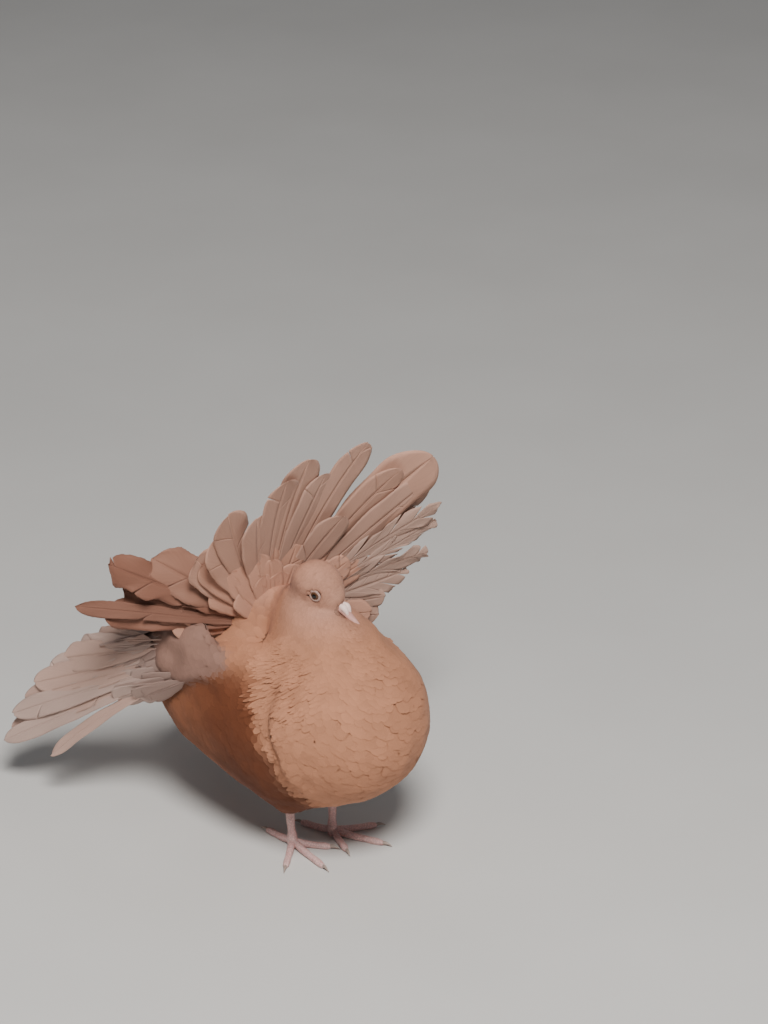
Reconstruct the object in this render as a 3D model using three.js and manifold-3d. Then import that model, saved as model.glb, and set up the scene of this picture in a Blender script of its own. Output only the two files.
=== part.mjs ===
// A life-size standing fantail pigeon: puffed breast, head drawn back, tail spread as a ragged upright fan.
// Millimetres. +X is the bird's left, -Y its front, +Z up. The floor is at Z = 0.
import * as THREE from 'three';
import { mergeVertices } from 'three/addons/utils/BufferGeometryUtils.js';
import Module from 'manifold-3d';

const wasm = await Module();
wasm.setup();

// Driving dimensions
const BREAST_RADIUS = 59;
const BREAST_FRONT_Y = -81;
const BREAST_Z = 101;
const HEAD_PITCH = 34; // degrees that the bill points below the horizontal
const HEAD_YAW = 13; // degrees that the head turns to the bird's left
const EYE_CENTRE = [0.3, -8, 188.5]; // the point between the eyes
const EYE_RADIUS = 3.8;
const EYE_HALF_SPAN = 9.8;
const BILL_TIP_DISTANCE = 36; // from the point between the eyes
const TAIL_ROOT = [0, 38, 148];
const TAIL_YAW = 20; // degrees that the fan turns towards the bird's right
const FAN_ROOT_RADIUS = 14;
const WING_PITCH = 31; // degrees that the folded wing hangs below the horizontal
const WING_SPLAY = 11; // degrees that it points out from the body's line
const WING_TILT = 18; // degrees that its face looks upwards
const WING_ROOT = [-52, 65, 128]; // below the middle of the right wing's arm
const FOOT_HALF_STANCE = 14;
const FOOT_STAGGER = 5.5;
const FOOT_BACK = 3;
const SHANK_RADIUS = 2.7;
const TOE_RADIUS = 2.4;
const GAP = 0.45; // thin cut between neighbouring parts
const FLATNESS = 0.06; // facets that bend less than this are merged
const LARGE = 500;

const deg = THREE.MathUtils.degToRad;
const vec = (x, y, z) => new THREE.Vector3(x, y, z);
const at = (list) => vec(...list);
const along = (origin, ...terms) =>
  terms.reduce((sum, [direction, amount]) => sum.addScaledVector(direction, amount), origin.clone());

// Repeatable small irregularity between -1 and 1
const ragged = (seed) => {
  const raised = Math.sin(seed * 12.9898 + 4.137) * 43758.5453;
  return 2 * (raised - Math.floor(raised)) - 1;
};

// Solids

function toSolid(geometry) {
  const bare = geometry.index ? geometry.toNonIndexed() : geometry.clone();
  const kept = new THREE.BufferGeometry();
  kept.setAttribute('position', bare.getAttribute('position'));
  const merged = mergeVertices(kept, 1e-4);
  return new wasm.Manifold(
    new wasm.Mesh({
      numProp: 3,
      vertProperties: new Float32Array(merged.attributes.position.array),
      triVerts: new Uint32Array(merged.index.array),
    }),
  );
}

function toGeometry(solid) {
  const mesh = solid.getMesh();
  const positions = new Float32Array(mesh.numVert * 3);
  for (let i = 0; i < mesh.numVert; i++) {
    positions.set(mesh.vertProperties.subarray(i * mesh.numProp, i * mesh.numProp + 3), i * 3);
  }
  const geometry = new THREE.BufferGeometry();
  geometry.setAttribute('position', new THREE.BufferAttribute(positions, 3));
  geometry.setIndex(new THREE.BufferAttribute(new Uint32Array(mesh.triVerts), 1));
  geometry.computeVertexNormals();
  return geometry;
}

const joined = (solids) => solids.reduce((sum, solid) => sum.add(solid));
const larger = (one, other) => (other.volume() > one.volume() ? other : one);
const largest = (solid) => solid.decompose().reduce(larger);

// A closed skin through rings of points, each ring holding the same number of points
function loft(rings) {
  const count = rings[0].length;
  const positions = [];
  const triangle = (a, b, c) => positions.push(...a.toArray(), ...b.toArray(), ...c.toArray());
  const middle = (ring) => ring.reduce((sum, point) => sum.add(point), vec(0, 0, 0)).divideScalar(count);
  for (let i = 0; i + 1 < rings.length; i++) {
    for (let j = 0; j < count; j++) {
      const next = (j + 1) % count;
      triangle(rings[i][j], rings[i + 1][j], rings[i + 1][next]);
      triangle(rings[i][j], rings[i + 1][next], rings[i][next]);
    }
  }
  const last = rings[rings.length - 1];
  for (let j = 0; j < count; j++) {
    const next = (j + 1) % count;
    triangle(middle(rings[0]), rings[0][j], rings[0][next]);
    triangle(middle(last), last[next], last[j]);
  }
  const geometry = new THREE.BufferGeometry();
  geometry.setAttribute('position', new THREE.Float32BufferAttribute(positions, 3));
  const solid = toSolid(geometry);
  if (solid.volume() >= 0) return solid;
  return loft(rings.map((ring) => [...ring].reverse()));
}

function ellipse(centre, across, up, halfWidth, halfHeight, sides) {
  return Array.from({ length: sides }, (_, i) => {
    const turn = (2 * Math.PI * i) / sides;
    return along(centre, [across, halfWidth * Math.cos(turn)], [up, halfHeight * Math.sin(turn)]);
  });
}

// A round limb through stations [x, y, z, half width, half depth], with each ring square to the path
function limb(stations, sides, across = vec(1, 0, 0), grow = 0) {
  const points = stations.map((station) => vec(station[0], station[1], station[2]));
  const rings = stations.map((station, i) => {
    const before = points[Math.max(0, i - 1)];
    const after = points[Math.min(points.length - 1, i + 1)];
    const tangent = after.clone().sub(before).normalize();
    const side = across.clone().addScaledVector(tangent, -across.dot(tangent)).normalize();
    const up = tangent.clone().cross(side);
    const end = i === 0 ? -grow : i === points.length - 1 ? grow : 0;
    const centre = along(points[i], [tangent, end]);
    return ellipse(centre, side, up, station[3] + grow, station[4] + grow, sides);
  });
  return loft(rings);
}

// A slab of the given thickness whose middle passes through a point, square to a direction
function slab(point, normal, thickness, reach = LARGE) {
  const box = new THREE.BoxGeometry(reach, reach, thickness);
  box.applyQuaternion(new THREE.Quaternion().setFromUnitVectors(vec(0, 0, 1), normal.clone().normalize()));
  box.translate(point.x, point.y, point.z);
  return toSolid(box);
}

// The half of space on the side that the direction points to
const beyond = (point, normal, start = 0) =>
  slab(along(point, [normal.clone().normalize(), LARGE / 2 + start]), normal, LARGE);

function ball(centre, radius, detail = 2) {
  const sphere = new THREE.IcosahedronGeometry(radius, detail);
  sphere.translate(centre.x, centre.y, centre.z);
  return toSolid(sphere);
}

// Body of flesh and body feathers, made whole and then parted

const TRUNK_SIDES = 24;
// Rows are [y, centre z, half width, half height] from breast to vent.
const TRUNK_SECTIONS = [
  [BREAST_FRONT_Y + 1, BREAST_Z, 8, 8],
  [BREAST_FRONT_Y + 5, BREAST_Z, 22.5, 22.5],
  [BREAST_FRONT_Y + 14, BREAST_Z + 1, 37, 37],
  [BREAST_FRONT_Y + 28, BREAST_Z + 0.5, 50, 48.5],
  [BREAST_FRONT_Y + 52, BREAST_Z - 1, BREAST_RADIUS, BREAST_RADIUS - 0.5],
  [0, 92, BREAST_RADIUS + 1, 62],
  [28, 92, 57, 59.5],
  [55, 95.5, 55, 54],
  [80, 96, 51, 44.5],
  [102, 100, 40.5, 35],
  [117, 104, 27, 23],
  [125, 111, 9, 7],
];

function trunk(grow) {
  const rings = TRUNK_SECTIONS.map(([y, z, halfWidth, halfHeight], i) => {
    const end = i === 0 ? -grow : i === TRUNK_SECTIONS.length - 1 ? grow : 0;
    const centre = vec(0, y + end, z);
    return ellipse(centre, vec(1, 0, 0), vec(0, 0, 1), halfWidth + grow, halfHeight + grow, TRUNK_SIDES);
  });
  return loft(rings);
}

function neck(grow) {
  const stations = [
    [0, -24, 112, 45, 41],
    [0, -17, 132, 40, 40],
    [0, -6, 148, 33, 37],
    [0, 3, 162, 26, 30],
    [0, 7, 174, 20, 22.5],
    [0, 7, 185, 13.5, 15],
  ];
  return limb(stations, 22, vec(1, 0, 0), grow);
}

// Head frame: forwards along the bill, upwards out of the crown, and to the head's left
const headAhead = vec(Math.sin(deg(HEAD_YAW)), -Math.cos(deg(HEAD_YAW)), 0);
const headLeft = vec(Math.cos(deg(HEAD_YAW)), Math.sin(deg(HEAD_YAW)), 0);
const up = vec(0, 0, 1);
const pitchCos = Math.cos(deg(HEAD_PITCH));
const pitchSin = Math.sin(deg(HEAD_PITCH));
const billward = along(vec(0, 0, 0), [headAhead, pitchCos], [up, -pitchSin]);
const crownward = along(vec(0, 0, 0), [headAhead, pitchSin], [up, pitchCos]);
const headPoint = (forward, rise, side = 0) =>
  along(at(EYE_CENTRE), [billward, forward], [crownward, rise], [headLeft, side]);
const HEAD_SIDES = 18;
const FACE_DISTANCE = 16; // where the feathered face ends and the bill begins
// Rows are [forward, centre's rise, half width, half height].
const HEAD_SECTIONS = [
  [-21.5, -3.2, 4.5, 4.5],
  [-19.5, -2.6, 9, 9.5],
  [-14, -1, 12.6, 13.8],
  [-6, 0.4, 13.8, 15.1],
  [1, 0.4, 12.9, 14.3],
  [7, -0.8, 10.8, 12.4],
  [12.5, -2.8, 7.6, 9.2],
  [FACE_DISTANCE, -4.2, 5.2, 6.2],
];

function head(grow) {
  const rings = HEAD_SECTIONS.map(([forward, rise, halfWidth, halfHeight], i) => {
    const end = i === 0 ? -grow : i === HEAD_SECTIONS.length - 1 ? grow : 0;
    const centre = headPoint(forward + end, rise);
    return ellipse(centre, headLeft, crownward, halfWidth + grow, halfHeight + grow, HEAD_SIDES);
  });
  return loft(rings);
}

// Tail frame: up the fan, to the fan's left, and out of its front
const fanLeft = vec(Math.cos(deg(TAIL_YAW)), -Math.sin(deg(TAIL_YAW)), 0);
const fanFront = vec(-Math.sin(deg(TAIL_YAW)), -Math.cos(deg(TAIL_YAW)), 0);
const tailRoot = at(TAIL_ROOT);
// The direction of a feather that leaves the root at an angle from upright, positive to the bird's right
const fanDirection = (angle) =>
  along(vec(0, 0, 0), [up, Math.cos(deg(angle))], [fanLeft, -Math.sin(deg(angle))]);

// The rump rises from the back into the foot of the fan, and its coverts spread a little way up it.
function rump(grow) {
  const rings = [
    [-34, 32, 32],
    [-18, 33, 29],
    [0, 30, 21],
    [14, 25, 13],
    [25, 18, 7.5],
    [32, 9, 3.5],
  ].map(([rise, halfWidth, halfDepth]) => {
    const lean = 0.004 * (rise + 34) ** 2;
    const centre = along(tailRoot, [up, rise], [fanFront, lean - 12]);
    return ellipse(centre, fanLeft, fanFront, halfWidth + grow, halfDepth + grow, 18);
  });
  return loft(rings);
}

// The feathered shoulder on each side of the back, which the wing lies against
function scapular(side, grow) {
  const stations = [
    [side * 18, 2, 132, 10, 8],
    [side * 25, 14, 133, 16, 14],
    [side * 29, 36, 131, 19, 17],
    [side * 33, 62, 124, 19, 16],
    [side * 36, 84, 116, 15, 12],
    [side * 37, 98, 111, 6, 5],
  ];
  return limb(stations, 14, vec(1, 0, 0), grow);
}

const HIP = { x: 21, y: 8, z: 74 };
function thigh(side, grow) {
  const footY = FOOT_BACK - side * FOOT_STAGGER;
  const stations = [
    [side * HIP.x, HIP.y, HIP.z, 24, 27],
    [side * (HIP.x - 1), HIP.y, 52, 22, 25],
    [side * (HIP.x - 3), HIP.y - 1, 41, 16, 19],
    [side * (FOOT_HALF_STANCE + 2), footY + 2, 32, 8.5, 10],
    [side * (FOOT_HALF_STANCE + 1.5), footY + 1.5, 25.5, 4.8, 5.2],
  ];
  return limb(stations, 18, vec(1, 0, 0), grow);
}

const flesh = (grow) =>
  joined([
    trunk(grow),
    neck(grow),
    head(grow),
    rump(grow),
    ...[-1, 1].flatMap((side) => [thigh(side, grow), scapular(side, grow)]),
  ]);

// Eyes

const eyePoint = (side) => headPoint(0, 0, side * EYE_HALF_SPAN);
const eye = (side, grow) => ball(eyePoint(side), EYE_RADIUS + grow, 2);

// Bill

const BILL_BASE = FACE_DISTANCE + GAP;
// Rows are [share of the length, rise, half width, half height].
function billHalf(rows, length, grow) {
  return loft(
    rows.map(([share, rise, halfWidth, halfHeight], i) => {
      const end = i === 0 ? -grow : i === rows.length - 1 ? grow : 0;
      const centre = headPoint(BILL_BASE + share * length + end, rise);
      return ellipse(centre, headLeft, crownward, halfWidth + grow, halfHeight + grow, 12);
    }),
  );
}
function upperBill(grow) {
  const rows = [
    [0, -2.2, 3.7, 2.4],
    [0.35, -2.7, 3.0, 2.1],
    [0.6, -3.2, 2.3, 2.0],
    [0.82, -4.1, 1.7, 1.9],
    [0.95, -5.4, 1.0, 1.4],
    [1, -6.2, 0.4, 0.6],
  ];
  return billHalf(rows, BILL_TIP_DISTANCE - BILL_BASE, grow);
}
function lowerBill(grow) {
  const rows = [
    [0, -7.1, 3.4, 2.0],
    [0.4, -7.1, 2.6, 1.6],
    [0.75, -7.4, 1.7, 1.2],
    [1, -7.8, 0.6, 0.5],
  ];
  return billHalf(rows, BILL_TIP_DISTANCE - BILL_BASE - 2.7, grow);
}
// The pale swollen cere over the nostrils: two lobes that meet in the middle
function cere(grow) {
  const rows = [
    [0, 0.2, 1.7, 1.9, 2.1],
    [2.3, 0.6, 1.8, 2.5, 2.7],
    [5.2, 0, 1.6, 2.3, 2.4],
    [8, -1.1, 1.2, 1.4, 1.5],
  ];
  const lobe = (side) =>
    loft(
      rows.map(([forward, rise, aside, halfWidth, halfHeight], i) => {
        const centre = headPoint(BILL_BASE + forward - (i === 0 ? grow : 0), rise, side * aside);
        return ellipse(centre, headLeft, crownward, halfWidth + grow, halfHeight + grow, 10);
      }),
    );
  return lobe(-1).add(lobe(1));
}

// Feathers

// Rows are [share of the feather's length, share of its width].
const VANE_SHARES = [
  [0, 0.2],
  [0.3, 0.6],
  [0.62, 0.96],
  [0.87, 0.92],
  [1, 0.34],
];

// One large feather as a thin curved plate. The bend carries its tip towards the face's direction,
// and the sweep carries it sideways.
function feather(plan) {
  const { root, direction, face, length, width, bend } = plan;
  const { sweep = 0, rootThick = 1.9, tipThick = 0.9, grow = 0 } = plan;
  const side = direction.clone().cross(face).normalize();
  const rings = VANE_SHARES.map(([share, widthShare], i) => {
    const curve = share * share;
    const end = i === VANE_SHARES.length - 1 ? grow : 0;
    const reach = share * length + end;
    const centre = along(root, [direction, reach], [face, bend * curve], [side, sweep * curve]);
    const halfWidth = (width / 2) * widthShare + grow;
    const halfThick = THREE.MathUtils.lerp(rootThick, tipThick, share) / 2 + grow;
    return [[-1, -1], [1, -1], [1, 1], [-1, 1]].map(([aside, over]) =>
      along(centre, [side, aside * halfWidth], [face, over * halfThick]));
  });
  return loft(rings);
}

// Tail feathers from the bird's right to its left, by the sector that holds them. Rows are
// [degrees from upright, reach from the tail's root, width, how far the tip leans out of the fan's front].
const TAIL_SECTORS = {
  right_low: [
    [75, 115, 22, -22],
    [73, 137, 12, -20],
    [67, 104, 30, -16],
  ],
  right_high: [
    [59, 129, 24, -16],
    [51, 98, 32, -8],
    [42, 84, 28, 4],
    [33, 95, 28, 18],
  ],
  top_right: [
    [24, 112, 28, 28],
    [14, 96, 27, 28],
    [3, 119, 29, 32],
  ],
  top_left: [
    [-5, 133, 28, 34],
    [-13, 118, 26, 30],
    [-22, 145, 24, 34],
    [-30, 90, 26, 22],
  ],
  left_high: [
    [-37, 141, 38, 24],
    [-45, 151, 46, 22],
    [-52, 140, 30, 20],
  ],
  left_low: [
    [-60, 136, 20, 20],
    [-66, 131, 17, 18],
    [-73, 117, 21, 14],
    [-80, 103, 24, 10],
    [-89, 85, 19, 4],
    [-99, 84, 24, 2],
    [-109, 78, 24, 0],
  ],
};
const FEATHER_TWIST = 9; // degrees that each vane turns so that it laps over the next

function tailFeather([angle, reach, width, lean], i) {
  const length = reach - FAN_ROOT_RADIUS;
  const radial = fanDirection(angle);
  const direction = along(radial, [fanFront, (0.55 * lean) / length]).normalize();
  const twist = deg(FEATHER_TWIST * (1 + ragged(i + reach)));
  const face = along(vec(0, 0, 0), [fanFront, Math.cos(twist)], [fanDirection(angle - 90), Math.sin(twist)]);
  face.addScaledVector(direction, -face.dot(direction)).normalize();
  const root = along(tailRoot, [radial, FAN_ROOT_RADIUS], [fanFront, -2]);
  return feather({ root, direction, face, length, width, bend: 0.45 * lean });
}

// The spread tail is joined as one fan, and then parted along rays between its named sectors.
function tailSectors(clearance) {
  const plans = Object.values(TAIL_SECTORS);
  const whole = joined(plans.flat().map(tailFeather)).subtract(clearance);
  const rays = plans.slice(1).map((plan, i) => (plans[i].at(-1)[0] + plan[0][0]) / 2);
  const cuts = rays.map((angle) =>
    slab(along(tailRoot, [fanDirection(angle), LARGE / 2]), fanDirection(angle + 90), GAP));
  const edges = [180, ...rays, -180];
  const pieces = whole.subtract(joined(cuts)).decompose();
  return Object.keys(TAIL_SECTORS).map((name, i) => {
    const inside = pieces.filter((piece) => {
      const { min, max } = piece.boundingBox();
      const centre = at(min).add(at(max)).divideScalar(2).sub(tailRoot);
      const angle = THREE.MathUtils.radToDeg(Math.atan2(-centre.dot(fanLeft), centre.z));
      return angle < edges[i] && angle >= edges[i + 1];
    });
    return [name, inside.reduce(larger)];
  });
}

// Wings, made for the bird's right side and mirrored

// Wing frame: back along the folded wing, out of its face, and up across it
const wingFace = vec(-Math.cos(deg(WING_TILT)), 0, Math.sin(deg(WING_TILT)));
const wingBack = vec(-Math.sin(deg(WING_SPLAY)), Math.cos(deg(WING_SPLAY)), 0);
wingBack.multiplyScalar(Math.cos(deg(WING_PITCH))).addScaledVector(up, -Math.sin(deg(WING_PITCH)));
wingBack.addScaledVector(wingFace, -wingBack.dot(wingFace)).normalize();
const wingUp = wingBack.clone().cross(wingFace);
const wingPoint = (back, rise, out = 0) =>
  along(at(WING_ROOT), [wingBack, back], [wingUp, rise], [wingFace, out]);
const QUILL_START = 14; // where the flight feathers leave the arm
const COVERT_EDGE = 24; // where the arm's small feathers end

function wingArm(grow) {
  const stations = [
    [-31, 9, -1, 6, 2.5],
    [-27, 10, 0, 15, 5.5],
    [-14, 10.5, 1, 20.5, 8],
    [2, 11.5, 1, 21.5, 7.5],
    [16, 12.5, 0.5, 20.5, 5.5],
    [30, 13, 0, 17, 3],
  ];
  return loft(
    stations.map(([back, rise, out, halfHeight, halfThick], i) => {
      const end = i === 0 ? -grow : i === stations.length - 1 ? grow : 0;
      const centre = wingPoint(back + end, rise, out);
      return ellipse(centre, wingUp, wingFace, halfHeight + grow, halfThick + grow, 16);
    }),
  );
}

// Rows are [height of the root on the arm, length, width, turn above the wing's line in degrees, sweep].
const PRIMARIES = [
  [-3, 126, 10, -2, -14],
  [1, 162, 14, 0, -2],
  [3, 157, 16, 1.5, -1],
  [6, 146, 17, 3, 0],
  [9, 134, 18, 5, 0],
];
const SECONDARIES = [
  [12, 120, 20, 7.5, 0],
  [15, 105, 21, 9.5, 0],
  [18, 90, 21, 11.5, 0],
  [21, 74, 21, 13, 0],
  [24, 56, 20, 14.5, 0],
];
function flightFeathers(rows, layer, grow) {
  return joined(
    rows.map(([rise, length, width, turn, sweep], i) =>
      feather({
        root: wingPoint(QUILL_START, rise, layer + 0.35 * i),
        direction: along(vec(0, 0, 0), [wingBack, Math.cos(deg(turn))], [wingUp, Math.sin(deg(turn))]),
        face: wingFace,
        length,
        width,
        bend: -6,
        sweep,
        tipThick: 1,
        grow,
      })),
  );
}
const quills = (grow) => flightFeathers(PRIMARIES, -0.6, grow).add(flightFeathers(SECONDARIES, 0.8, grow));

function rightWing(clearance) {
  const whole = wingArm(0).add(quills(0)).subtract(clearance);
  const edge = wingPoint(COVERT_EDGE, 0);
  const coverts = largest(whole.subtract(beyond(edge, wingBack)));
  const vanes = quills(0).subtract(clearance).intersect(beyond(edge, wingBack, GAP));
  const turn = deg((PRIMARIES.at(-1)[3] + SECONDARIES[0][3]) / 2);
  const seam = along(vec(0, 0, 0), [wingUp, Math.cos(turn)], [wingBack, -Math.sin(turn)]);
  const seamPoint = wingPoint(QUILL_START, (PRIMARIES.at(-1)[0] + SECONDARIES[0][0]) / 2);
  return {
    coverts,
    primaries: largest(vanes.subtract(beyond(seamPoint, seam))),
    secondaries: largest(vanes.intersect(beyond(seamPoint, seam, GAP))),
  };
}

// Legs

const floorTrim = beyond(vec(0, 0, 0), vec(0, 0, -1));
// The pads are trimmed flat at the floor. Each toe is [turn from straight ahead, positive outwards, length].
const TOES = {
  outer: [58, 30],
  middle: [16, 36],
  inner: [-29, 25],
  hind: [187, 24.5],
};
const CLAW_LENGTH = 6.5;
const footPoint = (side) => vec(side * FOOT_HALF_STANCE, FOOT_BACK - side * FOOT_STAGGER, 0);
const toeDirection = (side, turn) => vec(side * Math.sin(deg(turn)), -Math.cos(deg(turn)), 0);

function toe(side, [turn, length]) {
  const direction = toeDirection(side, turn);
  const across = vec(-direction.y, direction.x, 0);
  const rows = [
    [-1, 4.4, 2.6],
    [0.16 * length, 3.2, 2.5],
    [0.42 * length, 2.1, TOE_RADIUS + 0.15],
    [0.65 * length, 2.0, TOE_RADIUS - 0.1],
    [0.86 * length, 1.95, TOE_RADIUS],
    [length, 1.8, TOE_RADIUS - 0.7],
  ];
  return loft(
    rows.map(([reach, height, radius]) => {
      const centre = along(footPoint(side), [direction, reach]);
      return ellipse(centre.setZ(height), across, up, radius, radius, 8);
    }),
  );
}

function claw(side, [turn, length]) {
  const direction = toeDirection(side, turn);
  const across = vec(-direction.y, direction.x, 0);
  const rows = [
    [0, 2.0, 1.35],
    [0.3, 2.25, 1.15],
    [0.65, 1.7, 0.75],
    [1, 0.7, 0.3],
  ];
  return loft(
    rows.map(([share, height, radius]) => {
      const centre = along(footPoint(side), [direction, length + GAP + share * CLAW_LENGTH]);
      return ellipse(centre.setZ(height), across, up, radius, radius, 6);
    }),
  ).subtract(floorTrim);
}

function foot(side) {
  const toes = Object.values(TOES).map((plan) => toe(side, plan));
  const pad = limb(
    [
      [footPoint(side).x, footPoint(side).y, -0.5, 3.4, 3.4],
      [footPoint(side).x, footPoint(side).y, 4, 3.8, 4],
      [footPoint(side).x, footPoint(side).y + 0.4, 8, 3.2, 3.4],
    ],
    10,
  );
  return joined([pad, ...toes]).subtract(floorTrim);
}

function shank(side) {
  const start = footPoint(side);
  return limb(
    [
      [start.x, start.y + 0.4, 8 + GAP, SHANK_RADIUS + 0.5, SHANK_RADIUS + 0.7],
      [start.x + side * 0.3, start.y + 0.5, 12, SHANK_RADIUS - 0.2, SHANK_RADIUS],
      [start.x + side * 0.7, start.y + 0.8, 17, SHANK_RADIUS, SHANK_RADIUS + 0.2],
      [start.x + side * 1.3, start.y + 1.3, 30, SHANK_RADIUS + 0.4, SHANK_RADIUS + 0.6],
    ],
    12,
  );
}

// Materials: colours are the bird's pale red-buff plumage and pink bare skin

const plumage = (hex) => new THREE.MeshStandardMaterial({ color: hex, roughness: 0.85, metalness: 0 });
const MATERIALS = {
  body: plumage(0xb9835f),
  head: plumage(0xb4877a),
  vane: plumage(0xc4a08e),
  tail: plumage(0xbd9079),
  skin: new THREE.MeshStandardMaterial({ color: 0xb27f80, roughness: 0.55, metalness: 0 }),
  claw: new THREE.MeshStandardMaterial({ color: 0x8d7a70, roughness: 0.4, metalness: 0 }),
  bill: new THREE.MeshStandardMaterial({ color: 0xd9b9b4, roughness: 0.45, metalness: 0 }),
  cere: new THREE.MeshStandardMaterial({ color: 0xe8d7d6, roughness: 0.7, metalness: 0 }),
  eye: new THREE.MeshStandardMaterial({ color: 0x2a1710, roughness: 0.08, metalness: 0 }),
};

// Assembly

const pigeon = new THREE.Group();
function place(name, solid, material, mirrored = false) {
  const geometry = toGeometry(solid.asOriginal().simplify(FLATNESS));
  const mesh = new THREE.Mesh(geometry, material);
  mesh.name = name;
  if (mirrored) mesh.scale.x = -1;
  pigeon.add(mesh);
}

const body = flesh(0);
const clearance = flesh(GAP);

// Cutting planes between the named parts of the body
const headPlane = { point: vec(0, -10, 171.5), normal: vec(0, -0.3, 0.95) };
const neckPlane = { point: vec(0, -10, 151), normal: vec(0, -0.24, 0.97) };
const breastPlane = { point: vec(0, -4, 95), normal: vec(0, -1, 0.1) };
const rumpPlane = { point: vec(0, 40, 146.5), normal: vec(0, 0.1, 1) };
const ventPlane = { point: vec(0, 66, 105), normal: vec(0, 1, 0.25) };
const thighPlane = { point: vec(0, 8, 49), normal: vec(0, -0.1, -1) };
const thighFrontPlane = { point: vec(0, -25, 0), normal: vec(0, 1, 0) };

// What lies beyond all of the planes, and the rest
function part(solid, ...planes) {
  const region = (start) => {
    const halves = planes.map(({ point, normal }) => beyond(point, normal, start));
    return halves.reduce((sum, half) => sum.intersect(half));
  };
  return [solid.intersect(region(GAP / 2)), solid.subtract(region(-GAP / 2))];
}

const [legsAndBelly, upperBody] = part(body, thighPlane, thighFrontPlane);
const [rightThigh, leftThigh] = [-1, 1].map((side) =>
  largest(legsAndBelly.intersect(beyond(vec(0, 0, 0), vec(side, 0, 0), GAP / 2))));
const frontOfTail = { point: vec(0, 9.5, 150), normal: vec(-0.17, -1, 0) };
const [front, back] = part(upperBody, frontOfTail);
const [neckAndHead, frontTrunk] = part(front, neckPlane);
const [headOnly, neckOnly] = part(neckAndHead, headPlane);
const [breastOnly, frontBack] = part(frontTrunk, breastPlane);
const [rumpOnly, rearTrunk] = part(back, rumpPlane);
const [ventOnly, backOnly] = part(rearTrunk, ventPlane);

const faceRoom = joined([eye(-1, GAP), eye(1, GAP), upperBill(GAP), lowerBill(GAP), cere(GAP)]);
place('head', largest(headOnly.subtract(faceRoom)), MATERIALS.head);
place('neck', largest(neckOnly.subtract(faceRoom)), MATERIALS.body);
place('breast', largest(breastOnly.subtract(faceRoom)), MATERIALS.body);
place('shoulders', largest(frontBack), MATERIALS.body);
place('back', largest(backOnly), MATERIALS.body);
place('vent', largest(ventOnly), MATERIALS.body);
place('rump', largest(rumpOnly), MATERIALS.tail);
place('thigh_right', rightThigh, MATERIALS.body);
place('thigh_left', leftThigh, MATERIALS.body);

for (const [side, word] of [[-1, 'right'], [1, 'left']]) {
  place('eye_' + word, eye(side, 0), MATERIALS.eye);
}
place('bill_upper', upperBill(0), MATERIALS.bill);
place('bill_lower', largest(lowerBill(0).subtract(upperBill(GAP))), MATERIALS.bill);
place('cere', largest(cere(0).subtract(upperBill(GAP))), MATERIALS.cere);

const wingRoom = wingArm(GAP).add(quills(GAP));
for (const [name, solid] of tailSectors(joined([clearance, wingRoom, wingRoom.mirror([1, 0, 0])]))) {
  place('tail_' + name, solid, MATERIALS.tail);
}

for (const [name, solid] of Object.entries(rightWing(clearance))) {
  place('wing_right_' + name, solid, MATERIALS.vane);
  place('wing_left_' + name, solid, MATERIALS.vane, true);
}

for (const [side, word] of [[-1, 'right'], [1, 'left']]) {
  place('shank_' + word, largest(shank(side).subtract(clearance)), MATERIALS.skin);
  place('foot_' + word, foot(side), MATERIALS.skin);
  for (const [name, plan] of Object.entries(TOES)) {
    place('claw_' + word + '_' + name, claw(side, plan), MATERIALS.claw);
  }
}

// The part's origin is the middle of its bounding box at the floor.
const box = new THREE.Box3().setFromObject(pigeon, true);
const middle = box.getCenter(vec(0, 0, 0));
pigeon.position.set(-middle.x, -middle.y, -box.min.z);

export default pigeon;
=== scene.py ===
"""A fantail pigeon: skin, body feathers, barbed tail and flight feathers, legs, bill and eyes."""
import itertools
import math

import bmesh
import bpy
import numpy as np
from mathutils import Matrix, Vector, noise
from mathutils.bvhtree import BVHTree


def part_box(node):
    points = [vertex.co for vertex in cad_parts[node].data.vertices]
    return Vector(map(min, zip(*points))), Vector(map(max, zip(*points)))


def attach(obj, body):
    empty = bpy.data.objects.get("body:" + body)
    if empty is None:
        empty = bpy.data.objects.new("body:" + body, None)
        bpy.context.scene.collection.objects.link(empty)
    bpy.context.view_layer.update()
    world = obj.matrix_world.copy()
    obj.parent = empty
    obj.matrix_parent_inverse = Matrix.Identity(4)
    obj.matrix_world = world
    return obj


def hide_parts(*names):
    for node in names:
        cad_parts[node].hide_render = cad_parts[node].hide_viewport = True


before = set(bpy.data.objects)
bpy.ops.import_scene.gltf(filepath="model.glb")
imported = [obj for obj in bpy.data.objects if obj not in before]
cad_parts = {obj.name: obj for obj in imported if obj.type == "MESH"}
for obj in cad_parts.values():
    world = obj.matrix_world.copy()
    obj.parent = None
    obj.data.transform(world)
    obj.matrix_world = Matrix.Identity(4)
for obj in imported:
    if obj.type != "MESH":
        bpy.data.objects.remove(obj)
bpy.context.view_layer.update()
rng = np.random.default_rng(11)

MM = 0.001
WING_FLESH = ("wing_right_coverts", "wing_left_coverts")
FLESH = (
    "head", "neck", "breast", "shoulders", "back", "vent", "rump", "thigh_right", "thigh_left", *WING_FLESH,
)
TAIL_NODES = (
    "tail_right_low", "tail_right_high", "tail_top_right", "tail_top_left", "tail_left_high", "tail_left_low",
)

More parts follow.
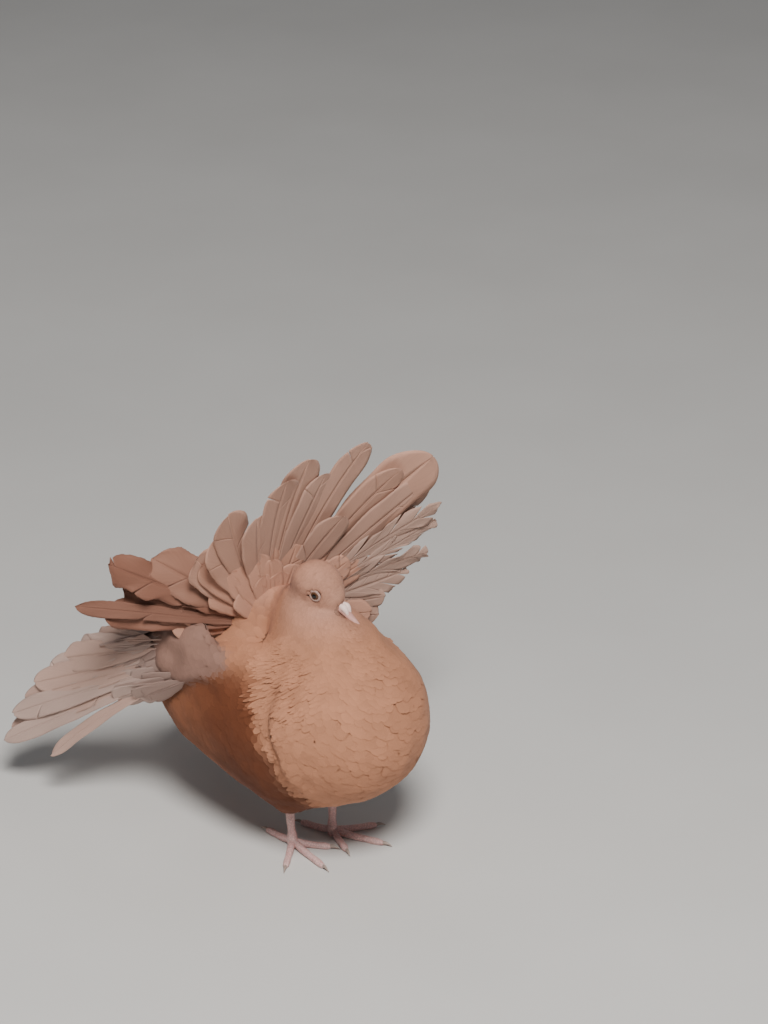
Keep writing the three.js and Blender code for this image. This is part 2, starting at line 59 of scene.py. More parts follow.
# The bird's own frame: millimetres from the point on the floor midway between its feet, angles in degrees
HEAD_PITCH = 34
HEAD_YAW = 13
EYE_CENTRE = np.array([0.3, -8, 188.5])
EYE_RADIUS = 3.8
EYE_HALF_SPAN = 9.8
BILL_TIP_DISTANCE = 36
FACE_DISTANCE = 16
TAIL_ROOT = np.array([0, 38, 148.0])
TAIL_YAW = 20
FAN_ROOT_RADIUS = 14
WING_PITCH = 31
WING_SPLAY = 11
WING_TILT = 18
WING_ROOT = np.array([-52, 65, 128.0])
QUILL_START = 14
FOOT_HALF_STANCE = 14
FOOT_STAGGER = 5.5
FOOT_BACK = 3
GAP = 0.45

# The outline is remeshed at this pitch, from nodes swollen enough to close the cuts between them
VOXEL = 1.5
SWELL = 0.55
SMOOTH_ROUNDS = 70
# Where the breast's plumage ends at the side, by height, and how far the flank behind it lies inwards
RIDGE_Z = (30, 50, 80, 110, 140)
RIDGE_Y = (-46, -40, -25, -13, -4)
FLANK_SUNK = 3.6

# Body feathers of full size. Those of the head, wing and thigh are smaller by their coat_scale.
FEATHER_LENGTH = 15.5
FEATHER_WIDTH = 9.0
COAT_DEPTH = 3.0
COAT_SPACING = 3.9
STRAND_SPACING = 2.4
MOST_FEATHERS = 3500
# Along a body feather: how far out of the coat, how wide and how thick it is at each station
RISE = np.array([0, 0.2, 0.4, 0.6, 0.8, 0.93, 1.0])
WIDTHS = np.array([0.35, 0.72, 0.94, 1.0, 0.94, 0.74, 0.34])
THICKNESS = np.array([0.16, 0.14, 0.12, 0.09, 0.06, 0.04, 0.02])
STATIONS = len(RISE)
BAKE_PATCH = 0.003

X_AXIS, Y_AXIS, UP = np.eye(3)


def turned(first, second, angle):
    """The direction at an angle in degrees from a first axis towards a second one."""
    return first * math.cos(math.radians(angle)) + second * math.sin(math.radians(angle))


def unit(vectors):
    return vectors / np.maximum(np.linalg.norm(vectors, axis=-1, keepdims=True), 1e-9)


def level_with(vectors, normals):
    """The part of vectors that lies at right angles to unit normals."""
    return vectors - normals * (vectors * normals).sum(-1, keepdims=True)


def distance(points, place):
    return np.linalg.norm(points - place, axis=-1)


def smooth_step(value, low, high):
    share = np.clip((value - low) / (high - low), 0, 1)
    return share * share * (3 - 2 * share)


def fade(value, low, high):
    """One up to the low value, zero from the high one on."""
    return 1 - smooth_step(value, low, high)


def band(value, rise_from, rise_to, fall_from, fall_to):
    """One between the middle two values, fading to zero at the outer two."""
    return smooth_step(value, rise_from, rise_to) * fade(value, fall_from, fall_to)


def lumps(points, size, seed):
    return np.array([noise.noise(Vector((p[0] / size + seed, p[1] / size, p[2] / size))) for p in points])


head_ahead = turned(-Y_AXIS, X_AXIS, HEAD_YAW)
head_left = turned(X_AXIS, Y_AXIS, HEAD_YAW)
billward = turned(head_ahead, -UP, HEAD_PITCH)
crownward = turned(UP, head_ahead, HEAD_PITCH)
fan_left = turned(X_AXIS, -Y_AXIS, TAIL_YAW)
fan_front = turned(-Y_AXIS, -X_AXIS, TAIL_YAW)
wing_face = turned(-X_AXIS, UP, WING_TILT)
wing_back = turned(turned(Y_AXIS, -X_AXIS, WING_SPLAY), -UP, WING_PITCH)
wing_back = unit(level_with(wing_back, wing_face))
wing_up = np.cross(wing_back, wing_face)


def head_point(forward, rise, side=0.0):
    return EYE_CENTRE + billward * forward + crownward * rise + head_left * side


def wing_point(back, rise, out=0.0):
    return WING_ROOT + wing_back * back + wing_up * rise + wing_face * out


def mirrored(points):
    return points * np.array([-1.0, 1.0, 1.0])


# The row's origin lies elsewhere, so the eye's place gives the shift between the two frames.
eye_low, eye_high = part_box("eye_right")
SHIFT = np.array((eye_low + eye_high) / 2) / MM - head_point(0, 0, -EYE_HALF_SPAN)


def to_row(points):
    return (points + SHIFT) * MM


# Meshes and pieces


def add_object(name, data):
    made = bpy.data.objects.new(name, data)
    bpy.context.collection.objects.link(made)
    return made


def add_piece(mesh, material, replaced=()):
    """Adds a piece under its mesh's name."""
    piece = add_object(mesh.name, mesh)
    mesh.materials.append(material)
    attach(piece, "root")
    if replaced:
        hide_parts(*replaced)


def add_tint(mesh, colours):
    layer = mesh.color_attributes.new(name="tint", type="FLOAT_COLOR", domain="POINT")
    rgba = np.ones((len(colours), 4), dtype=np.float32)
    rgba[:, :3] = colours
    layer.data.foreach_set("color", rgba.ravel())


def smooth_mesh(name, points, faces):
    """A mesh from points in the bird's frame."""
    mesh = bpy.data.meshes.new(name)
    mesh.from_pydata(to_row(points).tolist(), [], faces)
    mesh.shade_smooth()
    return mesh


def array_mesh(name, points, faces, tint=None, vane_uv=None, bake_uv=None):
    """A mesh with its tints and maps, from an array of four-sided faces."""
    mesh = smooth_mesh(name, points, faces.tolist())
    for layer, values in (("Vane", vane_uv), ("OFBake", bake_uv)):
        if values is not None:
            uv = mesh.uv_layers.new(name=layer)
            uv.data.foreach_set("uv", values[faces.ravel()].astype(np.float32).ravel())
    if tint is not None:
        add_tint(mesh, tint)
    mesh.validate()
    return mesh


def read_values(items, field, width, kind=np.float32):
    """The values that a field holds for each item, one item to a row."""
    values = np.empty(len(items) * width, dtype=kind)
    items.foreach_get(field, values)
    return values.reshape(-1, width)


def mesh_of(work, name):
    mesh = bpy.data.meshes.new(name)
    work.to_mesh(mesh)
    work.free()
    return mesh


def joined_mesh(name, meshes):
    work = bmesh.new()
    for mesh in meshes:
        work.from_mesh(mesh)
        bpy.data.meshes.remove(mesh)
    return mesh_of(work, name)


def ring_faces(ring_count, sides, closed=False):
    """Faces between neighbouring rings of points. An open tube with four sides has its two ends shut too."""
    base = np.arange(ring_count if closed else ring_count - 1)[:, None] * sides
    following = (base + sides) % (ring_count * sides)
    here = np.arange(sides)[None, :]
    after = (here + 1) % sides
    walls = np.stack([base + here, base + after, following + after, following + here], -1).reshape(-1, 4)
    if sides != 4:
        return walls
    last = (ring_count - 1) * 4
    return np.vstack([walls, [[3, 2, 1, 0], [last, last + 1, last + 2, last + 3]]])


def repeated_faces(single, copies, verts_each):
    return (single[None, :, :] + (np.arange(copies) * verts_each)[:, None, None]).reshape(-1, 4)


def sharpen_vane_edges(mesh):
    """Keeps a body feather's thin edges and its ends crisp. Its corners come in rings of four."""
    first, second = read_values(mesh.edges, "vertices", 2, np.int32).T
    station = first % (4 * STATIONS) // 4
    sharp = (first % 4 == second % 4) & (first % 2 == 0)
    sharp |= (first // 4 == second // 4) & ((station == 0) | (station == STATIONS - 1))
    mesh.attributes.new("sharp_edge", "BOOLEAN", "EDGE").data.foreach_set("value", sharp)


# Colours

TAN = np.array([0.48, 0.216, 0.121])
# Rust and deep rust are the flank's own colour, darkened in part as painted shade.
RUST_AND_PAINTED_SHADE = np.array([0.23, 0.078, 0.034])
DEEP_RUST_AND_PAINTED_SHADE = np.array([0.125, 0.036, 0.014])
PINK_TAN = np.array([0.47, 0.235, 0.160])
# Painted light and shade on the wing: the mauve is darkened in part as painted shade on the wing's arm, and
# the pale mauve is brightened as painted light on the wing's feathers.
MAUVE = np.array([0.25, 0.145, 0.115])
PALE_MAUVE_AND_PAINTED_LIGHT = np.array([0.60, 0.43, 0.37])
PALE_VANE = np.array([0.52, 0.29, 0.21])
GREY_VANE = np.array([0.42, 0.28, 0.225])
LOW_SHADE = np.array([0.46, 0.37, 0.34])
MOTTLE = 0.13


def blend(first, second, share):
    share = np.asarray(share)[..., None]
    return first * (1 - share) + second * share


def behind_ridge(points):
    """How far points lie behind the line where the breast's plumage ends."""
    return points[..., 1] - np.interp(points[..., 2], RIDGE_Z, RIDGE_Y)


def behind_edge(points):
    """How far points lie behind the plumage's uneven edge along that line."""
    return behind_ridge(points) + 5 * lumps(points, 13, 3)


def body_colour(points, wing_share):
    """Tan breast and back, laid over with the other markings one after another, and a faint mottle. The rust
    of the flank and shoulder and the mauve of the wing's arm are partly painted shade.
    """
    _, back, height = points.T
    # Painted shade in part: below these heights the rust darkens the flank behind the breast's edge, up to
    # the shoulder beside the wing's arm.
    low = fade(height, 122, 150)
    behind = behind_edge(points)
    bill_base = smooth_step((points - EYE_CENTRE) @ billward, 8, 15)
    from_head = distance(points, EYE_CENTRE)
    cheek = distance(points, head_point(-9, -5, -12))
    nape = smooth_step(height, 146, 165) * smooth_step(back, 18, 34)
    # The rust and the deeper rust behind the breast's edge are partly painted shade; the rust low down makes
    # the belly darker.
    markings = (
        (RUST_AND_PAINTED_SHADE, 0.85 * smooth_step(behind, -2, 14) * low),
        (DEEP_RUST_AND_PAINTED_SHADE, 0.9 * band(behind, 0, 10, 34, 80) * low),
        (RUST_AND_PAINTED_SHADE, 0.35 * fade(height, 30, 62)),
        (PINK_TAN, fade(from_head, 12, 44)),
        (MAUVE * 0.8, 0.4 * fade(cheek, 3, 9)),
        (PALE_VANE, 0.4 * bill_base * fade(from_head, 15, 24)),
        (PINK_TAN, 0.7 * nape),
        # The wing's mauve is darkened in part as painted shade.
        (MAUVE, 0.9 * wing_share),
    )
    colour = TAN
    for paint, share in markings:
        colour = blend(colour, paint, share)
    mottle = np.array([noise.noise(Vector(p) * 0.09) + 0.5 * noise.noise(Vector(p) * 0.31) for p in points])
    return np.clip(colour * (1 + MOTTLE * mottle[:, None]), 0.01, 1)


# Materials


class Look:
    """A material under construction: nodes that feed one surface shader."""

    def __init__(self, name, **inputs):
        self.material = bpy.data.materials.new(name)
        self.material.use_nodes = True
        self.tree = self.material.node_tree
        self.shader = self.tree.nodes["Principled BSDF"]
        for key, value in inputs.items():
            self.shader.inputs[key.replace("_", " ")].default_value = value

    def node(self, kind, inputs, **settings):
        """A new node, each of whose named or numbered inputs gets a plain value or a link."""
        made = self.tree.nodes.new("ShaderNode" + kind)
        for key, value in settings.items():
            setattr(made, key, value)
        for key, value in inputs.items():
            if isinstance(value, bpy.types.NodeSocket):
                self.tree.links.new(value, made.inputs[key])
            else:
                made.inputs[key].default_value = value
        return made

    def place(self):
        return self.node("TexCoord", {}).outputs["Object"]

    def vane(self):
        """Across and along a feather, or round and away from an eye's axis."""
        uv = self.node("UVMap", {}, uv_map="Vane").outputs["UV"]
        return self.node("SeparateXYZ", {0: uv}).outputs

    def tint(self):
        return self.node("Attribute", {}, attribute_name="tint").outputs["Color"]

    def math(self, operation, *values):
        return self.node("Math", dict(enumerate(values)), operation=operation).outputs[0]

    def noise(self, place, scale, detail, roughness=0.5):
        inputs = {"Vector": place, "Scale": scale, "Detail": detail, "Roughness": roughness}
        return self.node("TexNoise", inputs).outputs["Fac"]

    def multiply(self, first, second, share=1.0):
        inputs = {0: share, 6: first, 7: second}
        return self.node("Mix", inputs, data_type="RGBA", blend_type="MULTIPLY").outputs[2]

    def ramp(self, source, *stops):
        """Stops are a position and a colour, or one number for a grey."""
        made = self.node("ValToRGB", {"Fac": source})
        elements = made.color_ramp.elements
        while len(elements) < len(stops):
            elements.new(0.5)
        for element, (position, colour) in zip(elements, stops):
            element.position = position
            element.color = (*np.broadcast_to(colour, 3), 1)
        return made.outputs["Color"]

    def finish(self, colour, height=None, depth=0.0):
        """Sets the colour and the bump, whose depth is in metres, and returns the material."""
        self.tree.links.new(colour, self.shader.inputs["Base Color"])
        if height is not None:
            bump = self.node("Bump", {"Height": height, "Strength": 0.5, "Distance": depth})
            self.tree.links.new(bump.outputs["Normal"], self.shader.inputs["Normal"])
        return self.material


def feather_material(name, barbs, tip_light, base_dark, bump_depth, roughness, sheen):
    """Barbs slant outwards from the shaft, the base is darker and the tip's edge paler."""
    look = Look(name, Roughness=roughness, Sheen_Weight=sheen, Sheen_Roughness=0.45, Specular_IOR_Level=0.25)
    vane = look.vane()
    aside = look.math("ABSOLUTE", look.math("SUBTRACT", vane["X"], 0.5))
    slant = look.math("MULTIPLY_ADD", aside, -0.55, vane["Y"])
    phase = look.math("MULTIPLY", slant, barbs)
    wave = look.math("MULTIPLY_ADD", look.math("SINE", phase), 0.5, 0.5)
    along = look.ramp(vane["Y"], (0.0, base_dark), (0.62, 0.93), (0.88, 1.0), (1.0, tip_light))
    streaks = look.ramp(wave, (0.0, 0.90), (1.0, 1.0))
    across_barbs = look.node("CombineXYZ", {"X": phase, "Y": aside}).outputs[0]
    bands = look.ramp(look.noise(across_barbs, 0.35, 3.0, 0.7), (0.3, 0.84), (0.7, 1.06))
    colour = look.multiply(look.multiply(look.tint(), along), look.multiply(streaks, bands))
    return look.finish(colour, wave, bump_depth)


def skin_material():
    look = Look("feathered_skin", Roughness=0.85)
    down = look.noise(look.place(), 900.0, 4.0, 0.6)
    shade = look.ramp(down, (0.3, 0.62), (0.7, 1.0))
    return look.finish(look.multiply(look.tint(), shade), down, 0.0006)


def scaly_material():
    """Pink leg skin with scutes across it and fine wrinkles between."""
    look = Look("leg_skin", Roughness=0.5, Subsurface_Weight=0.12, Subsurface_Scale=1.0,
                Subsurface_Radius=(0.002, 0.0008, 0.0006))
    cells = look.node("TexVoronoi", {"Vector": look.place(), "Scale": 650.0}, feature="DISTANCE_TO_EDGE")
    edges = look.ramp(cells.outputs["Distance"], (0.0, 0.62), (0.16, 1.0))
    fine = look.noise(look.place(), 260.0, 5.0, 0.6)
    flush = look.ramp(fine, (0.3, (0.64, 0.37, 0.35)), (0.7, (0.78, 0.53, 0.50)))
    return look.finish(look.multiply(flush, edges, 0.8), edges, 0.0003)


def horn_material(name, low, high, roughness, scale=180.0, bump_depth=0.0001):
    look = Look(name, Roughness=roughness)
    grain = look.noise(look.place(), scale, 6.0, 0.65)
    return look.finish(look.ramp(grain, (0.3, low), (0.7, high)), grain, bump_depth)


def eye_material(name):
    """A black pupil, a brown iris with radial fibres and a dark rim, by distance from the eye's axis."""
    look = Look(name, Roughness=0.07)
    iris = look.ramp(
        look.vane()["Y"], (0.0, 0.004), (0.36, 0.004), (0.40, (0.05, 0.02, 0.008)),
        (0.56, (0.13, 0.055, 0.022)), (0.68, (0.07, 0.03, 0.015)), (0.85, 0.01))
    fibres = look.noise(look.place(), 1400.0, 3.0)
    return look.finish(look.multiply(iris, look.ramp(fibres, (0.3, 0.6), (0.7, 1.0))))


def floor_material():
    look = Look("plain_floor", Roughness=0.9)
    cloud = look.noise(look.place(), 6.0, 4.0)
    return look.finish(look.ramp(cloud, (0.3, (0.60, 0.59, 0.57)), (0.7, (0.63, 0.62, 0.60))))


# The outline of the feathered body as one smooth surface


def swollen_mesh(name):
    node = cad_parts[name]
    part = bmesh.new()
    part.from_mesh(node.data)
    bmesh.ops.transform(part, matrix=node.matrix_world, verts=part.verts)
    bmesh.ops.remove_doubles(part, verts=part.verts, dist=1e-6)
    bmesh.ops.recalc_face_normals(part, faces=part.faces)
    part.normal_update()
    for vert in part.verts:
        vert.co += vert.normal * SWELL * MM
    return mesh_of(part, "swollen")


def flesh_mesh():
    """One closed mesh of triangles round all flesh nodes."""
    holder = add_object("flesh", joined_mesh("flesh", [swollen_mesh(name) for name in FLESH]))
    remesh = holder.modifiers.new("remesh", "REMESH")
    remesh.mode = "VOXEL"
    remesh.voxel_size = VOXEL * MM
    remesh.adaptivity = 0
    triangulate = holder.modifiers.new("triangulate", "TRIANGULATE")
    triangulate.quad_method = "BEAUTY"
    bpy.context.view_layer.update()
    solid = bpy.data.meshes.new_from_object(holder.evaluated_get(bpy.context.evaluated_depsgraph_get()))
    bpy.data.objects.remove(holder)
    return solid


def mesh_points(mesh):
    return read_values(mesh.vertices, "co", 3).astype(float) / MM - SHIFT


class Surface:
    """Points, triangles, normals and a search tree of one closed surface, in the bird's frame."""

    def __init__(self, points, faces):
        self.points = points
        self.faces = faces
        self.normals = self.point_normals()
        self.tree = BVHTree.FromPolygons(points.tolist(), faces.tolist())
        edges = np.vstack([faces[:, [0, 1]], faces[:, [1, 2]], faces[:, [2, 0]]])
        self.edges = np.unique(np.sort(edges, axis=1), axis=0)
        self.degree = np.bincount(self.edges.ravel(), minlength=len(points)).astype(float)[:, None]

    def corners(self, faces=slice(None)):
        return (self.points[self.faces[faces, k]] for k in range(3))

    def point_normals(self):
        a, b, c = self.corners()
        flat = np.cross(b - a, c - a)
        total = np.zeros_like(self.points)
        for k in range(3):
            np.add.at(total, self.faces[:, k], flat)
        return unit(total)

    def average(self, values):
        """At each point, the mean of its neighbours' values."""
        total = np.zeros_like(values)
        np.add.at(total, self.edges[:, 0], values[self.edges[:, 1]])
        np.add.at(total, self.edges[:, 1], values[self.edges[:, 0]])
        return total / np.maximum(self.degree, 1)

    def smoothed(self, share):
        points = self.points.copy()
        for _ in range(SMOOTH_ROUNDS):
            points += share[:, None] * (self.average(points) - points)
        return Surface(points, self.faces)

    def nearest(self, points):
        """The surface's nearest places, their faces, and each place's shares of its face's corners."""
        hits = [self.tree.find_nearest(p) for p in points.tolist()]
        places = np.array([hit[0] for hit in hits])
        faces = np.array([hit[2] for hit in hits])
        a, b, c = self.corners(faces)
        area = np.cross(b - a, c - a)
        size = np.maximum((area * area).sum(1), 1e-12)
        share_a = (np.cross(b - places, c - places) * area).sum(1) / size
        share_b = (np.cross(c - places, a - places) * area).sum(1) / size
        shares = np.stack([share_a, share_b, 1 - share_a - share_b], 1).clip(0, 1)
        return places, faces, shares

    def at(self, values, faces, shares):
        return (values[self.faces[faces]] * shares[..., None]).sum(1)

    def normal_at(self, faces, shares):
        return unit(self.at(self.normals, faces, shares))


def sculpted(surface):
    """Sinks the flank behind the breast's edge and adds soft lumps where tufts of plumage lie."""
    points = surface.points
    aside, back, height = points.T
    side = smooth_step(np.abs(aside), 16, 32)
    sunk = FLANK_SUNK * side * band(height, 40, 58, 128, 146) * band(behind_edge(points), -1, 4, 16, 48)
    body = smooth_step(distance(points, EYE_CENTRE), 24, 50)
    hackles = smooth_step(height, 112, 128) * side * smooth_step(back, -52, -26)
    soft = (0.7 + 1.2 * hackles) * body * lumps(points, 11, 9)
    return Surface(points + surface.normals * (soft - sunk)[:, None], surface.faces)


def crease_share(points):
    """One in the crease between the neck and the foot of the fan, fading to nothing around it."""
    return np.exp(-(((points[:, 1] - 15) / 15) ** 2)) * band(points[:, 2], 112, 130, 172, 184)


def feathered_outline():
    """The flesh is smoothed least at the face, and plumage bridges the crease behind the neck."""
    solid = flesh_mesh()
    raw = Surface(mesh_points(solid), read_values(solid.polygons, "vertices", 3, np.int32).astype(int))
    softness = 0.06 + 0.44 * smooth_step(distance(raw.points, EYE_CENTRE), 14, 34)
    softness *= 0.15 + 0.85 * smooth_step(distance(raw.points, head_point(14, -3)), 4, 14)
    plump = sculpted(raw.smoothed(softness))
    return plump.smoothed(crease_share(plump.points))


def region_of(points):
    """For each point, the index in FLESH of the node nearest to it."""
    corners, polygons, owner = [], [], []
    for index, name in enumerate(FLESH):
        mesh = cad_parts[name].data
        start = len(corners)
        corners.extend(mesh_points(mesh).tolist())
        polygons.extend([start + v for v in polygon.vertices] for polygon in mesh.polygons)
        owner.extend([index] * len(mesh.polygons))
    tree = BVHTree.FromPolygons(corners, polygons)
    return np.array([owner[tree.find_nearest(p)[2]] for p in points.tolist()])


def node_share(names):
    """One at the outline's points nearest to the named nodes, with softened edges."""
    share = np.isin(region, [FLESH.index(name) for name in names]).astype(float)[:, None]
    for _ in range(4):
        share = outer.average(share)
    return share[:, 0]


def wing_cover(points):
    """How much of the wing's arm lies at points, and how far back along it they are."""
    away = points.copy()
    away[:, 0] = -np.abs(away[:, 0])
    away = away - WING_ROOT
    back, rise, out = away @ wing_back, away @ wing_up, away @ wing_face
    share = smooth_step(back, -44, -36) * fade(np.abs(rise - 11), 19, 25) * smooth_step(out, -13, -7)
    return share, back


outer = feathered_outline()
region = region_of(outer.points)
rump_vertex = node_share(["rump"])
wing_vertex = np.maximum(node_share(WING_FLESH), wing_cover(outer.points)[0])


def coat_scale(points):
    """The feathers' size against those of the breast: smallest at the bill, and small on the lower thigh."""
    from_bill = distance(points, head_point(17, -3))
    scale = np.interp(from_bill, [0, 8, 22, 42, 75], [0.20, 0.27, 0.40, 0.68, 1.0])
    scale = scale * (1 - 0.35 * wing_cover(points)[0]) * (1 - 0.35 * crease_share(points))
    return scale * np.interp(points[..., 2], [24, 34, 50], [0.42, 0.6, 1.0])


def coat_depth(points):
    return COAT_DEPTH * coat_scale(points) ** 0.9


# Skin


def skin_unwrap(mesh):
    """An unwrap of the skin by its own flatter patches, as one value pair for each triangle's corner."""
    holder = add_object("unwrap", mesh)
    bpy.ops.object.select_all(action="DESELECT")
    bpy.context.view_layer.objects.active = holder
    holder.select_set(True)
    mesh.uv_layers.new(name="OFBake")
    bpy.ops.object.mode_set(mode="EDIT")
    bpy.ops.mesh.select_all(action="SELECT")
    bpy.ops.uv.smart_project(angle_limit=math.radians(66), island_margin=0.004)
    bpy.ops.object.mode_set(mode="OBJECT")
    bpy.data.objects.remove(holder)
    return read_values(mesh.uv_layers["OFBake"].data, "uv", 2).astype(float).reshape(-1, 3, 2)


def add_skin():
    """The skin lies inside the outline by the coat's depth. Returns its unwrap."""
    points = outer.points - outer.normals * coat_depth(outer.points)[:, None]
    mesh = smooth_mesh("skin", points, outer.faces.tolist())
    unwrap = skin_unwrap(mesh)
    add_tint(mesh, body_colour(points, wing_vertex) * 0.6)
    add_piece(mesh, skin_material(), FLESH)
    return unwrap


# The lie, the roots and the shapes of the body feathers


def lie_of_feathers():
    """A direction along the surface at each vertex: away from the bill, back along the body and the wing,
    down the breast and thighs, and up the foot of the fan."""
    points = outer.points
    lie = unit(points - head_point(14, -6))
    backward = np.interp(points[:, 2], [20, 48, 70], [0.25, 0.6, 0.95])
    lie = lie + Y_AXIS * backward[:, None]
    fan = unit(unit(points - TAIL_ROOT + UP * 22) + UP * 0.5)
    lie = lie * (1 - rump_vertex[:, None]) + 2 * fan * rump_vertex[:, None]
    for side, back in ((-1, wing_back), (1, mirrored(wing_back))):
        share = (wing_vertex * (np.sign(points[:, 0]) == side))[:, None]
        lie = lie * (1 - share) + 2 * back * share
    lie = unit(lie)
    for _ in range(25):
        lie = level_with(lie, outer.normals)
        lie = unit(lie + 1.5 * outer.average(lie))
    return unit(level_with(lie, outer.normals))


flow = lie_of_feathers()
corner_uv = add_skin()
# Where no body feather grows: round the eyes and the bill, and behind this place on the wing's arm
LID_HALF_SPAN = 12.6
EYE_CLEARING = 4.3
BILL_MIDDLE = -4.2
BILL_CLEARING = 7.5
ARM_COAT_END = 12
COAT = feather_material("body_feather", 110.0, 1.02, 0.93, 0.00003, 0.85, 0.05)
# Roots are tried at random, this many for each feather's own area. A grid of cells finds a root's
# neighbours, and each class of sizes has a grid of its own.
TRIES = 7
SIZE_CLASS = 0.22
CLOSEST = 0.83
NEIGHBOURS = tuple(itertools.product((-1, 0, 1), repeat=3))


def thinned(points, size):
    """Indexes of the points that lie far enough from every point of their size class chosen before."""
    chosen, grids = [], {}
    level = np.round(np.log(size) / SIZE_CLASS).astype(int)
    for index, point in enumerate(points):
        cell = CLOSEST * math.exp(level[index] * SIZE_CLASS)
        grid = grids.setdefault(level[index], {})
        key = tuple(int(value // cell) for value in point)
        if all(
            ((points[other] - point) ** 2).sum() >= cell * cell
            for step in NEIGHBOURS
            for other in grid.get((key[0] + step[0], key[1] + step[1], key[2] + step[2]), ())
        ):
            grid.setdefault(key, []).append(index)
            chosen.append(index)
    return np.array(chosen)


def spread_roots(keep, apart):
    """Roots spread evenly, closer together where the feathers are smaller."""
    a, b, c = outer.corners()
    area = np.linalg.norm(np.cross(b - a, c - a), axis=1) / 2
    middle = (a + b + c) / 3
    spacing = apart * coat_scale(middle)
    weight = np.where(keep(middle), area / spacing**2, 0)
    count = int(weight.sum() * TRIES)
    faces = rng.choice(len(area), size=count, p=weight / weight.sum())
    first, second = rng.random(count), rng.random(count)
    over = first + second > 1
    first[over], second[over] = 1 - first[over], 1 - second[over]
    shares = np.stack([1 - first - second, first, second], 1)
    points = outer.at(outer.points, faces, shares)
    chosen = thinned(points, apart * coat_scale(points))
    return points[chosen], faces[chosen], shares[chosen]


def varied(count, spread, low, high):
    return (1 + spread * rng.standard_normal(count)).clip(low, high)


def body_feathers(points, faces, shares, shag):
    """Feathers that hug the outline from the skin up, as rings of four corners, and their colours.
    Shag makes them longer, narrower and looser."""
    count = len(points)
    scale = coat_scale(points)
    wing = outer.at(wing_vertex[:, None], faces, shares)[:, 0]
    length = FEATHER_LENGTH * scale**0.85 * varied(count, 0.12, 0.7, 1.4) * (1 + 0.6 * shag)
    width = FEATHER_WIDTH * scale * varied(count, 0.10, 0.7, 1.3) * (1 - 0.74 * shag)
    depth = coat_depth(points) * (1 - 0.75 * crease_share(points))
    clump = (0.5 + 0.9 * lumps(points, 7.5, 5)).clip(0, 1)
    lift = scale * (0.05 + 0.02 * rng.random(count))
    lift = lift + shag * (0.15 + 1.5 * clump + 0.25 * rng.random(count))
    direction = outer.at(flow, faces, shares)
    normal = outer.normal_at(faces, shares)
    turn = (0.04 + 0.05 * shag) * rng.standard_normal(count) + 0.7 * shag * lumps(points, 14, 7)
    across = np.cross(normal, direction)
    direction = unit(direction * np.cos(turn)[:, None] + across * np.sin(turn)[:, None])
    here = points
    rings = []
    for station, rise in enumerate(RISE):
        height = (lift * rise**2 - depth * (1 - rise) ** 2.1)[:, None]
        aside = unit(np.cross(direction, normal)) * (0.5 * width * WIDTHS[station])[:, None]
        thick = (scale * THICKNESS[station])[:, None]
        edges = []
        for hand in (-1, 1):
            edge, hit, hit_shares = outer.nearest(here + hand * aside)
            edges.append(edge + outer.normal_at(hit, hit_shares) * (height - 0.05))
        middle = here + normal * height
        upper, under = middle + normal * 0.6 * thick, middle - normal * thick
        rings.append(np.stack([edges[0], upper, edges[1], under], 1))
        step = RISE[min(station + 1, STATIONS - 1)] - rise
        here, hit, hit_shares = outer.nearest(here + direction * (length * step)[:, None])
        normal = outer.normal_at(hit, hit_shares)
        direction = unit(direction + 0.5 * outer.at(flow, hit, hit_shares))
        direction = unit(level_with(direction, normal))
    tone = 1 + 0.02 * rng.standard_normal(count)
    colour = body_colour(points, wing) * tone[:, None] * (1 + 0.10 * shag[:, None])
    return np.stack(rings, 1), colour


def feather_uv(count):
    """Across and along values of the four corners of each station."""
    across = np.array([0.0, 0.5, 1.0, 0.5])
    along = np.linspace(0, 1, STATIONS)
    grid = np.stack(np.broadcast_arrays(across[None, :], along[:, None]), -1)
    return np.broadcast_to(grid, (count, STATIONS, 4, 2))


def near_face_parts(points):
    """True at the eyes and the bill, and on the wing's rear part, so that no body feather grows there."""
    bare = np.zeros(len(points), dtype=bool)
    for side in (-1, 1):
        bare |= distance(points, head_point(0.3, 0.2, side * LID_HALF_SPAN)) < EYE_CLEARING
    ahead = (points - EYE_CENTRE) @ billward
    at_bill = distance(points, head_point(FACE_DISTANCE, BILL_MIDDLE)) < BILL_CLEARING
    bare |= (ahead > FACE_DISTANCE - 0.6) & at_bill
    share, back = wing_cover(points)
    return bare | ((share > 0.5) & (back > ARM_COAT_END))


def shaggy_share(points):
    """How loose the feathers stand: most at the sides of the neck, the breast's rear edge and the belly."""
    aside, back, height = points.T
    side = np.abs(aside)
    belly = 0.6 * fade(height, 28, 46)
    hackle = smooth_step(side, 22, 34) * band(height, 118, 136, 158, 172) * band(back, -50, -30, -4, 14)
    edge = np.exp(-(((behind_ridge(points) + 15) / 7) ** 2))
    edge *= smooth_step(side, 20, 36) * band(height, 48, 62, 140, 156)
    return np.clip(np.maximum(np.maximum(hackle, 0.8 * edge), belly), 0, 1)


